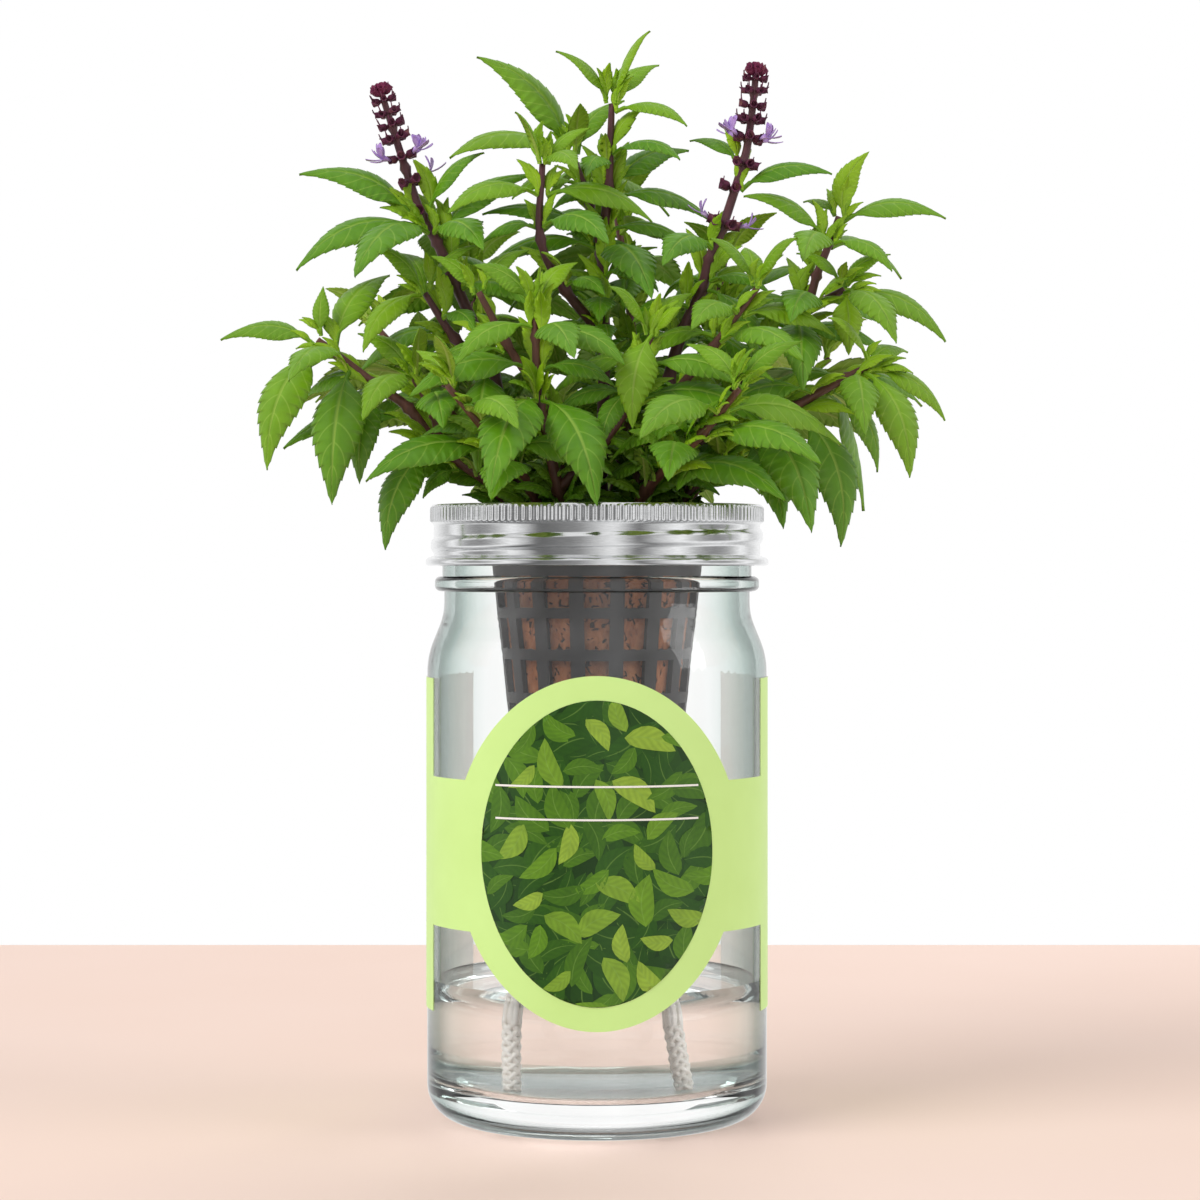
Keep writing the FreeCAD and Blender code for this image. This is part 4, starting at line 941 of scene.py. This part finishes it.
def make_spike(name):
    """Whorls of dark calyces on a bare stem, hooked threads near the top, buds, and open flowers."""
    route = stems[name][0]
    cups, blooms = Shape(), Shape()
    places = WHORL_PLACES[name]
    for n, where in enumerate(places):
        point, heading = along(route, where)
        near = leafy[np.linalg.norm(leafy - point, axis=1) < WHORL_REACH * CALYX_LENGTH]
        scale = 1 - n / (2 * len(places))
        wide = 1 - n / (4 * len(places))
        across = unit(cross(heading, (0, 1, 0)))
        behind = cross(heading, across)
        for k in range(CALYCES):
            angle = 2 * math.pi * (k + n / 2) / CALYCES
            aside = plus(tuple(p * math.cos(angle) for p in across), behind, math.sin(angle))
            radius = stem_radius(where, route, True)
            way = unit(plus(aside, heading, CALYX_RISE_SHARE))
            start = plus(point, aside, radius + LEAF_GAP + CALYX_FOOT)
            if not free(near, start, way, CALYX_LENGTH * scale, CALYX_MOUTH * scale):
                continue
            start = plus(start, way, CALYX_LENGTH * scale + LEAF_GAP)
            blooming = (n in FLOWERING[name] and abs(math.cos(angle)) > SIDE_SHARE
                        and free(near, start, way, PETAL_LENGTH, PETAL_MOUTH))
            way = unit(plus(plus(aside, heading, .12), wander(.14)))
            foot = plus(point, aside, radius + .5 * wide)
            tube(cups, [plus(point, aside, radius * .6), foot, plus(foot, way, .3)], .42, sides=6)
            bell(cups, foot, way, CALYX_LENGTH * .82 * wide, CALYX_MOUTH * 1.15 * scale)
            out, stray, length = (1.2, .2, 3.8 * wide) if n > LAST_PLAIN else (1.6, .3, 2.8)
            if n > LAST_PLAIN or dice.random() < .4:
                foot_aside = plus(foot, aside, out * scale)
                hook(cups, foot_aside, unit(plus(aside, wander(stray))), heading, length)
            if blooming:
                mouth = plus(foot, way, CALYX_LENGTH * .8 * scale)
                flower(blooms, mouth, unit(plus(aside, heading, .5)), dice.uniform(.85, 1.05))
    top, heading = along(route, places[-1] + .12)
    tip = np.array(route[-1])
    across, other = frame_round(heading)
    for n in range(BUDS):
        share = n / (BUDS - 1)
        centre = np.array(top) * (1 - share) + tip * share
        aside = math.cos(BUD_TURN * n) * across + math.sin(BUD_TURN * n) * other
        size = 1.15 * (1 - .8 * share)
        spread = aside * (1 - share)
        bell(cups, centre + spread * .9, unit(tuple(spread * 1.1 + np.array(heading))), 2.5 * size,
             .9 * size, (.35 + .6 * share, 0, 0, 1))
        if n < THREADED_BUDS and n % 2:
            hook(cups, centre + aside * .9, tuple(aside), heading, 3.0)
    made = cups.piece("calyx_whorls_" + name, "plug", [calyx_skin])
    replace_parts(made, "calyces_" + name)
    made = blooms.piece("petals_" + name, "plug", [petal_skin])
    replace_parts(made, "flowers_" + name)


leafy = []
for grown in leaves.values():
    for base, tip, width, *_ in grown:
        sections = leaf_sections(base, tip, width)
        leafy += stalk_spots(sections) + spots(sections)
leafy = np.array(leafy)
for name in WHORL_PLACES:
    make_spike(name)


# The wicks follow the same points as their solids, in metres
WICK_ROUTES = {
    "wick_left": [(-.012, -.009, .0869), (-.0122, -.0094, .074), (-.0136, -.0116, .061),
                  (-.0164, -.0152, .049), (-.0188, -.018, .037), (-.0195, -.0194, .0235),
                  (-.0194, -.020, .0093)],
    "wick_right": [(.012, -.009, .0869), (.0121, -.0093, .074), (.0126, -.0112, .061),
                   (.0136, -.0142, .048), (.0156, -.0172, .0355), (.018, -.019, .0225),
                   (.020, -.0198, .00945)],
}
WICK_RADIUS = .0025

cotton, tree, shader = material("cotton_braid", Roughness=.85, Specular_IOR_Level=.25, Sheen_Weight=.3)
where = place_of(tree)
paint(tree, shader, clouded(tree, where, 900.0, srgb(232, 229, 221), srgb(250, 249, 245)))
bump(tree, shader, noise(tree, where, 2600.0), .6, .0003)


def wick_line(name):
    """The route's own smooth line, read from a curve with no bevel."""
    curve = bpy.data.curves.new(name + "_line", "CURVE")
    curve.dimensions = "3D"
    curve.resolution_u = 24
    line = curve.splines.new("NURBS")
    line.points.add(len(WICK_ROUTES[name]) - 1)
    for point, place in zip(line.points, WICK_ROUTES[name]):
        point.co = (*place, 1)
    line.order_u = 3
    line.use_endpoint_u = True
    holder = add_object(name + "_line", curve)
    bpy.context.view_layer.update()
    settled = holder.evaluated_get(bpy.context.evaluated_depsgraph_get())
    drawn = bpy.data.meshes.new_from_object(settled)
    found = np.array([tuple(v.co) for v in drawn.vertices])
    bpy.data.objects.remove(holder)
    return found


def lengths_along(line):
    return np.concatenate([[0], np.cumsum(np.linalg.norm(np.diff(line, axis=0), axis=1))])


def even(line, step):
    """Points at equal steps along a line."""
    lengths = lengths_along(line)
    wanted = np.linspace(0, lengths[-1], max(2, round(lengths[-1] / step)))
    return np.stack([np.interp(wanted, lengths, line[:, axis]) for axis in range(3)], -1)


# The braid's turn, the yarns in it, and the step between its points
BRAID_PITCH = .011
YARNS = 8
BRAID_STEP = .0006
WICK_APART, WICK_FORWARD = .012, .009


def braid(shape, line, radius):
    """Yarns that wind both ways round a line and pass over and under one another."""
    sides, others = across_line(line, (0, 1, 0))
    gone = lengths_along(line)
    yarn = radius * .30
    for hand in (1, -1):
        for n in range(YARNS // 2):
            angles = hand * 2 * math.pi * gone / BRAID_PITCH + 2 * math.pi * n / (YARNS // 2)
            weave = np.sin(2 * math.pi * gone / BRAID_PITCH * YARNS / 2 + hand * math.pi / 2)
            reach = (radius - yarn * 1.15) + .15 * yarn * weave
            ring = sides * np.cos(angles)[:, None] + others * np.sin(angles)[:, None]
            tube(shape, (line + ring * reach[:, None]) / MM, yarn / MM, sides=6)
    tube(shape, line / MM, (radius - yarn * 1.3) / MM, sides=10)


for name, across in (("wick_left", -WICK_APART), ("wick_right", WICK_APART)):
    line = wick_line(name)
    shape = Shape()
    braid(shape, even(line, BRAID_STEP), WICK_RADIUS)
    made = shape.piece("braided_" + name, "insert", [cotton])
    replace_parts(made, name)
    head = name.replace("wick", "wick_head")
    low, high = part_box(head)
    shape = Shape()
    upright = np.array([(across, -WICK_FORWARD, z) for z in np.linspace(low.z, high.z, 32)])
    braid(shape, upright, WICK_RADIUS)
    made = shape.piece("braided_" + head, "insert", [cotton])
    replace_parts(made, head)


def dress(node, made):
    """Give a solid that stays shown its material."""
    nodes[node].data.materials.clear()
    nodes[node].data.materials.append(made)


# Coir: bent fibres, and small dark dashes where the cells of a fine pattern meet
coir, tree, shader = material("coir_fibre", Roughness=.9, Specular_IOR_Level=.2)
where = place_of(tree)
warp = add_node(tree, "TexNoise", {"Vector": where, "Scale": 120.0}).outputs["Color"]
warp = add_node(tree, "VectorMath", {0: warp, "Scale": .006}, operation="SCALE").outputs[0]
bent = add_node(tree, "VectorMath", {0: where, 1: warp}).outputs[0]
fibres = noise(tree, bent, 420.0, 4.0, .7, squash=(1, 1, .35))
cells = add_node(tree, "TexVoronoi", {"Vector": bent, "Scale": 420.0}, feature="DISTANCE_TO_EDGE")
plain = math_node(tree, "LESS_THAN", noise(tree, where, 500.0, 1.0), .56)
marks = math_node(tree, "ADD", cells.outputs[0], plain)
base = ramp(tree, fibres, (.25, srgb(98, 58, 36)), (.5, srgb(146, 94, 62)), (.75, srgb(178, 126, 90)))
dark = ramp(tree, marks, (.07, WHITE), (.12, BLACK))
paint(tree, shader, mixed(tree, dark, base, srgb(34, 20, 14)))
bump(tree, shader, fibres, .8, .0008)
dress("coir_plug", coir)

FIBRES = 420
FIBRE_RADIUS = .13
FIBRES_REACH, FIBRES_EDGE = 26.0, 26.4


def make_fibres():
    """Loose coir hairs over the top of the plug."""
    shape = Shape()
    for _ in range(FIBRES):
        radius, angle = FIBRES_REACH * math.sqrt(dice.random()), dice.uniform(0, 2 * math.pi)
        start = np.array((radius * math.cos(angle), radius * math.sin(angle), PLUG_TOP))
        way = dice.uniform(0, 2 * math.pi)
        curve = dice.uniform(-.5, .5)
        length = dice.uniform(2, 6)
        height = dice.uniform(.1, 1.3)
        line = []
        for t in np.linspace(0, 1, 6):
            turn = way + curve * t * 3
            point = start + np.array((math.cos(turn), math.sin(turn), 0)) * length * t
            point[:2] *= min(1, FIBRES_EDGE / max(np.hypot(point[0], point[1]), .1))
            line.append(point + (0, 0, height * math.sin(math.pi * t) + .05 * t))
        tube(shape, line, FIBRE_RADIUS, sides=4)
    shape.piece("coir_hairs", "plug", [coir])


make_fibres()


cup_plastic, tree, shader = material("cup_plastic", Specular_IOR_Level=.4)
where = place_of(tree)
paint(tree, shader, clouded(tree, where, 90.0, srgb(26, 27, 29), srgb(42, 43, 45)),
      scaled(tree, noise(tree, where, 600.0), .2, .42))
bump(tree, shader, noise(tree, where, 3000.0), .25, .0002)
dress("net_cup", cup_plastic)

steel, tree, shader = material("band_steel", Metallic=1.0)
grain = noise(tree, place_of(tree), 500.0, 3.0, .6, squash=(1, 1, 8))
paint(tree, shader, ramp(tree, grain, (.3, srgb(222, 223, 224)), (.7, srgb(238, 239, 240))),
      scaled(tree, grain, .06, .13))

FLUTES = 140
THREAD_PITCH = 5.08
THREAD_TURNS = 1.08
THREAD_LOW = 151.3
# Half the bulge's height, how much of its section is flat, and the angle over which it starts
BULGE_HALF = 2.1
BULGE_FLAT = 1.25
BULGE_START = .35
# The band's section outside and inside: radius and height, and as third and fourth values, where
# they aren't zero, how far its flutes stand out and how far its helical bulge does
BAND_LIP = [(38.0, 163.0), (38.03, 163.33), (38.15, 163.45), (40.5, 163.45), (43.55, 163.45),
            (43.85, 163.39), (44.06, 163.2), (44.14, 162.95, .05), (44.15, 162.7, .3),
            (44.15, 162.2, .4), (44.15, 160.5, .4), (44.15, 159.1, .4), (44.15, 158.85, .25),
            (44.1, 158.66), (43.85, 158.36), (43.6, 158.12)]
BAND_RECESS = [(43.55, 157.9 - .3 * n, 0, .75) for n in range(27)]
BAND_HEM = [(43.62, 149.85), (44.3, 149.55), (44.95, 149.35), (45.4, 149.12), (45.68, 148.75),
            (45.75, 148.3), (45.72, 147.85), (45.5, 147.45), (45.1, 147.24), (44.6, 147.2),
            (43.6, 147.2), (43.12, 147.25)]
BAND_INNER = ([(43.05, 147.5), (43.05, 149.6)] + [(43.05, 151.0 + 1.5 * n, 0, .75) for n in range(5)]
              + [(43.05, 158.1), (43.65, 158.7), (43.65, 162.6), (43.3, 162.95), (40.5, 162.95)])


def make_band():
    """The rolled band: lip, flutes, recess with its helical bulge, and curled hem."""
    columns = 4 * FLUTES
    whole = 2 * math.pi
    angles = angles_round(columns)
    flutes = .5 - .5 * np.cos(FLUTES * angles)
    turned = (angles - math.pi / 2) % whole
    rows = []
    for corner in BAND_LIP + BAND_RECESS + BAND_HEM + BAND_INNER + BAND_LIP[:1]:
        radius, height, fluted, bulged = corner + (0, 0)[len(corner) - 2:]
        rise = np.zeros(columns)
        for turns in (turned, turned + whole):
            low = np.clip(turns / BULGE_START, 0, 1)
            ends = low * np.clip((THREAD_TURNS * whole - turns) / BULGE_START, 0, 1)
            off = (height - THREAD_LOW - THREAD_PITCH * turns / whole) / BULGE_HALF
            bulge = BULGE_FLAT * np.cos(np.clip(off, -1, 1) * math.pi / 2)
            rise = np.maximum(rise, ends * np.clip(bulge, 0, 1))
        rows.append(level_ring(radius + fluted * flutes + bulged * rise, angles, height))
    shape = Shape()
    shape.grid(rows[::-1], around=True)
    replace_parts(shape.piece("rolled_band", "band", [steel]), "screw_band")


make_band()

# Clear glass, greener the more its surface turns away, as thick glass is seen edge-on, and darkened
# nearly to black there as painted shade
glass, tree, shader = material("jar_glass", Transmission_Weight=1.0, IOR=1.5)
where = place_of(tree)
away = add_node(tree, "LayerWeight", {0: .5}).outputs["Facing"]
# Towards the edges: the green of thick glass, then painted shade down to near black
edge = ramp(tree, away, (.25, WHITE), (.45, (.72, .80, .77, 1)), (.65, (.22, .31, .28, 1)),
            (.9, (.03, .06, .05, 1)))
tint = clouded(tree, where, 14.0, (.985, .995, .99, 1), (.995, 1, .998, 1))
tint_and_painted_edge_shade = mixed(tree, 1.0, edge, tint, "MULTIPLY")
paint(tree, shader, tint_and_painted_edge_shade, scaled(tree, noise(tree, where, 40.0), .012, .0))
bump(tree, shader, noise(tree, where, 22.0, 1.0), .25, .0012)
dress("glass_jar", glass)
# The lamps light what stands inside the clear glass and water
nodes["glass_jar"].visible_shadow = False

water, tree, shader = material("clear_water", Transmission_Weight=1.0, IOR=1.333, Roughness=.0)
paint(tree, shader, clouded(tree, place_of(tree), 10.0, (.99, 1, 1, 1), (.997, 1, 1, 1)))


JAR_INSIDE = 42.58
JAR_FLOOR = 8.92
INNER_HEEL = 11
WATER_LEVEL = 37.6
WATER_SIDES = 128


def make_water():
    """The nutrient water, with the curve that it makes up the glass."""
    flat = JAR_INSIDE - INNER_HEEL
    profile = [(.01, JAR_FLOOR), (flat, JAR_FLOOR)]
    for n in range(1, 13):
        angle = math.pi / 2 * n / 12
        profile.append((flat + INNER_HEEL * math.sin(angle),
                        JAR_FLOOR + INNER_HEEL * (1 - math.cos(angle))))
    profile.append((JAR_INSIDE, 30))
    for inward, climb in ((0, .4), (.4, .18), (1.1, .05), (2.4, 0)):
        profile.append((JAR_INSIDE - inward, WATER_LEVEL + climb))
    profile.append((.01, WATER_LEVEL))
    shape = Shape()
    angles = angles_round(WATER_SIDES)
    shape.closed([level_ring(radius, angles, height) for radius, height in profile])
    made = shape.piece("water", "jar", [water])
    made.visible_shadow = False


make_water()

# The label's print: an oval of leaf shapes in dark greens inside the lime border, and two rules
LABEL_RADIUS = 45.55
OVAL_MIDDLE = 74.2
OVAL_WIDE, OVAL_TALL = 29.6, 38.9

paper, tree, shader = material("label_paper", Roughness=.45, Specular_IOR_Level=.4,
                               Subsurface_Scale=.005, Subsurface_Radius=(1, 1, 1))
where = place_of(tree)
parts = add_node(tree, "SeparateXYZ", {0: where}).outputs
outward = add_node(tree, "CombineXYZ", {0: parts[0], 1: parts[1], 2: 0.0}).outputs[0]
normal = add_node(tree, "NewGeometry").outputs["True Normal"]
facing = add_node(tree, "VectorMath", {0: outward, 1: normal}, operation="DOT_PRODUCT")
front = math_node(tree, "GREATER_THAN", facing.outputs["Value"], 0.0)
# Light comes through the thin sheet to its reverse
tree.links.new(math_node(tree, "SUBTRACT", 1.0, front), shader.inputs["Subsurface Weight"])
lime = clouded(tree, where, 60.0, srgb(210, 248, 152), srgb(214, 252, 158))
paint(tree, shader, mixed(tree, front, srgb(252, 252, 250), lime))
bump(tree, shader, noise(tree, where, 1800.0), .1, .0001)
dress("label", paper)

print_ink, tree, shader = material("label_print", Roughness=.4, Specular_IOR_Level=.4)
tones = tones_of(tree)
side, along_leaf = leaf_places(tree)
ink = ramp(tree, tones[0], (0, srgb(14, 40, 14)), (.45, srgb(50, 100, 20)), (.8, srgb(112, 166, 34)),
           (1, srgb(168, 206, 70)))
rib = math_node(tree, "MAXIMUM", scaled(tree, side, -12.0, 1.0), 0.0)
swept = math_node(tree, "MULTIPLY", scaled(tree, side, -.25, along_leaf), 6.0)
stripe = math_node(tree, "PINGPONG", swept, .5)
shaded = math_node(tree, "MULTIPLY", math_node(tree, "SUBTRACT", 1.0, tones[1]), .4)
ink = mixed(tree, math_node(tree, "MULTIPLY", stripe, shaded), ink, srgb(24, 64, 18))
ink = mixed(tree, math_node(tree, "MULTIPLY", rib, shaded), ink, srgb(150, 196, 90))
cloudy = math_node(tree, "MULTIPLY", noise(tree, place_of(tree), 300.0), .5)
ink = mixed(tree, cloudy, ink, srgb(22, 56, 18))
paint(tree, shader, mixed(tree, tones[2], ink, srgb(250, 250, 246)))

# The print's layers of leaves: how many, least and greatest length, and brightness
PRINT_LAYERS = ((90, 10, 16, .34), (75, 9, 15, .62), (46, 8, 14, .95))
PRINT_SIDES = 96
PRINT_BASE, PRINT_LOW, PRINT_STEP, PRINT_RULE = .06, .075, .0006, .24
GOLDEN_TURN = 2.39996
RULE_HEIGHTS = (91.2, 82.8)
RULE_REACH, RULE_HALF = 25.8, .25


def on_label(across, up, above):
    """A point of the print: across is measured straight across the jar."""
    angle = math.asin(across / LABEL_RADIUS)
    radius = LABEL_RADIUS + above
    return (radius * math.sin(angle), -radius * math.cos(angle), OVAL_MIDDLE + up)


def inside_oval(across, up, share=1.0):
    """The point, drawn in to the oval's edge if it lies outside."""
    size = math.hypot(across / OVAL_WIDE, up / OVAL_TALL)
    return (across, up) if size <= share else (across * share / size, up * share / size)


def print_leaf(shape, across, up, angle, length, width, level, tone):
    """A flat leaf shape of the print."""
    rows, uvs = [], []
    for t in np.linspace(0, 1, 9):
        half = width / 2 * math.sin(math.pi * t ** .8) ** .8 if 0 < t < 1 else .01
        curve = .12 * length * math.sin(math.pi * t)
        row, marks = [], []
        for s in (-1, -.5, 0, .5, 1):
            x = across + math.cos(angle) * length * t - math.sin(angle) * (half * s + curve)
            y = up + math.sin(angle) * length * t + math.cos(angle) * (half * s + curve)
            row.append(on_label(*inside_oval(x, y, .998), level))
            marks.append(((s + 1) / 2, t))
        rows.append(row)
        uvs.append(marks)
    shape.grid(np.array(rows)[:, ::-1], uvs=np.array(uvs)[:, ::-1], tone=tone)


def make_print():
    """The print on the label: its dark ground, three layers of leaves, and two rules."""
    shape = Shape()
    rows = []
    for share in np.linspace(.001, 1, 14):
        wide, tall = share * OVAL_WIDE, share * OVAL_TALL
        rows.append([on_label(wide * math.cos(a), tall * math.sin(a), PRINT_BASE)
                     for a in angles_round(PRINT_SIDES)])
    shape.grid(rows, around=True, tone=(.12, 1, 0, 1))
    draw = random.Random(5)
    level = PRINT_LOW
    for layer, (count, low, high, bright) in enumerate(PRINT_LAYERS):
        for n in range(count):
            turn = GOLDEN_TURN * n + layer
            share = math.sqrt((n + .5) / count) * 1.02
            across, up = share * OVAL_WIDE * math.cos(turn), share * OVAL_TALL * math.sin(turn)
            level += PRINT_STEP
            length = draw.uniform(low, high)
            angle = draw.uniform(0, 2 * math.pi)
            start = across - math.cos(angle) * length / 2, up - math.sin(angle) * length / 2
            print_leaf(shape, *start, angle, length, length * draw.uniform(.36, .5), level,
                       (bright * draw.uniform(.55, 1.15), 0, 0, 1))
    for height in RULE_HEIGHTS:
        rows = []
        for across in np.linspace(-RULE_REACH, RULE_REACH, 40):
            rows.append([on_label(across, height - OVAL_MIDDLE + RULE_HALF * s, PRINT_RULE)
                         for s in (-1, 1)])
        shape.grid(np.array(rows)[:, ::-1], tone=(0, 1, 1, 1))
    shape.piece("label_print", "jar", [print_ink])


make_print()

# Floor, light and camera
floor_paint, tree, shader = material("floor_paint", Roughness=.7)
paint(tree, shader, clouded(tree, place_of(tree), 3.0, srgb(238, 211, 197), srgb(243, 218, 206)))
FLOOR_HALF, FLOOR_FRONT, FLOOR_BACK = 1.6, -1.3, .389
sheet = bpy.data.meshes.new("floor")
sheet.from_pydata([(-FLOOR_HALF, FLOOR_FRONT, 0), (FLOOR_HALF, FLOOR_FRONT, 0),
                   (FLOOR_HALF, FLOOR_BACK, 0), (-FLOOR_HALF, FLOOR_BACK, 0)], [], [(0, 1, 2, 3)])
sheet.materials.append(floor_paint)
floor = add_object("floor", sheet)
floor.visible_glossy = False


def lamp(name, place, target, size, watts):
    """A rectangular lamp that shows in no reflection."""
    data = bpy.data.lights.new(name, "AREA")
    data.shape = "RECTANGLE"
    data.size, data.size_y = size
    data.energy = watts
    made = add_object(name, data)
    made.location = place
    direction = np.array(target, float) - np.array(place, float)
    made.rotation_euler = Vector(direction).to_track_quat("-Z", "Y").to_euler()
    made.visible_glossy = False
    return made


key = lamp("key", (-1.0, -.75, 1.15), (0, 0, .18), (.9, .9), 15)
key.visible_transmission = False
lamp("fill", (1.25, -.45, .75), (0, 0, .15), (.6, 1.1), 6)
lamp("back", (.3, 1.0, .9), (0, 0, .2), (.9, .5), 6)

world = bpy.data.worlds.new("studio")
bpy.context.scene.world = world
world.use_nodes = True
tree = world.node_tree
sky = tree.nodes["Background"]
path = add_node(tree, "LightPath").outputs
seen = math_node(tree, "MAXIMUM", path["Is Camera Ray"], path["Is Transmission Ray"])
way = add_node(tree, "SeparateXYZ", {0: add_node(tree, "TexCoord").outputs["Generated"]}).outputs
# What gloss shows: bright and dark fields from left to right, white behind, and bright overhead
FIELDS = ((0, .3), (.06, 1.1), (.17, .14), (.40, .3), (.6, 1), (.74, .14), (.93, 1.1), (1, .3))
DIFFUSE_LEVEL = .46
behind = add_node(tree, "MapRange", {0: way[1], 1: .25, 2: .9, 3: 0.0, 4: 1.0}).outputs[0]
fields = ramp(tree, scaled(tree, way[0], .5, .5), *((spot, grey(light)) for spot, light in FIELDS))
overhead = add_node(tree, "MapRange", {0: way[2], 1: .3, 2: .8, 3: 0.0, 4: .9}).outputs[0]
bright = math_node(tree, "MAXIMUM", math_node(tree, "MAXIMUM", behind, fields), overhead)
glossy = math_node(tree, "MULTIPLY", path["Is Glossy Ray"], bright)
other = math_node(tree, "SUBTRACT", 1.0, path["Is Glossy Ray"])
diffuse = math_node(tree, "MULTIPLY", other, DIFFUSE_LEVEL)
level = math_node(tree, "MAXIMUM", seen, math_node(tree, "ADD", glossy, diffuse))
tree.links.new(level, sky.inputs["Strength"])
sky.inputs["Color"].default_value = WHITE

camera = add_object("camera", bpy.data.cameras.new("camera"))
camera.data.lens = 98
camera.data.sensor_width = 36
camera.data.shift_y = -.0333
camera.data.clip_start = .01
camera.location = (.0008, -.873, .1487)
camera.rotation_euler = (math.pi / 2, 0, 0)
bpy.context.scene.camera = camera
bpy.context.scene.view_settings.view_transform = "Standard"
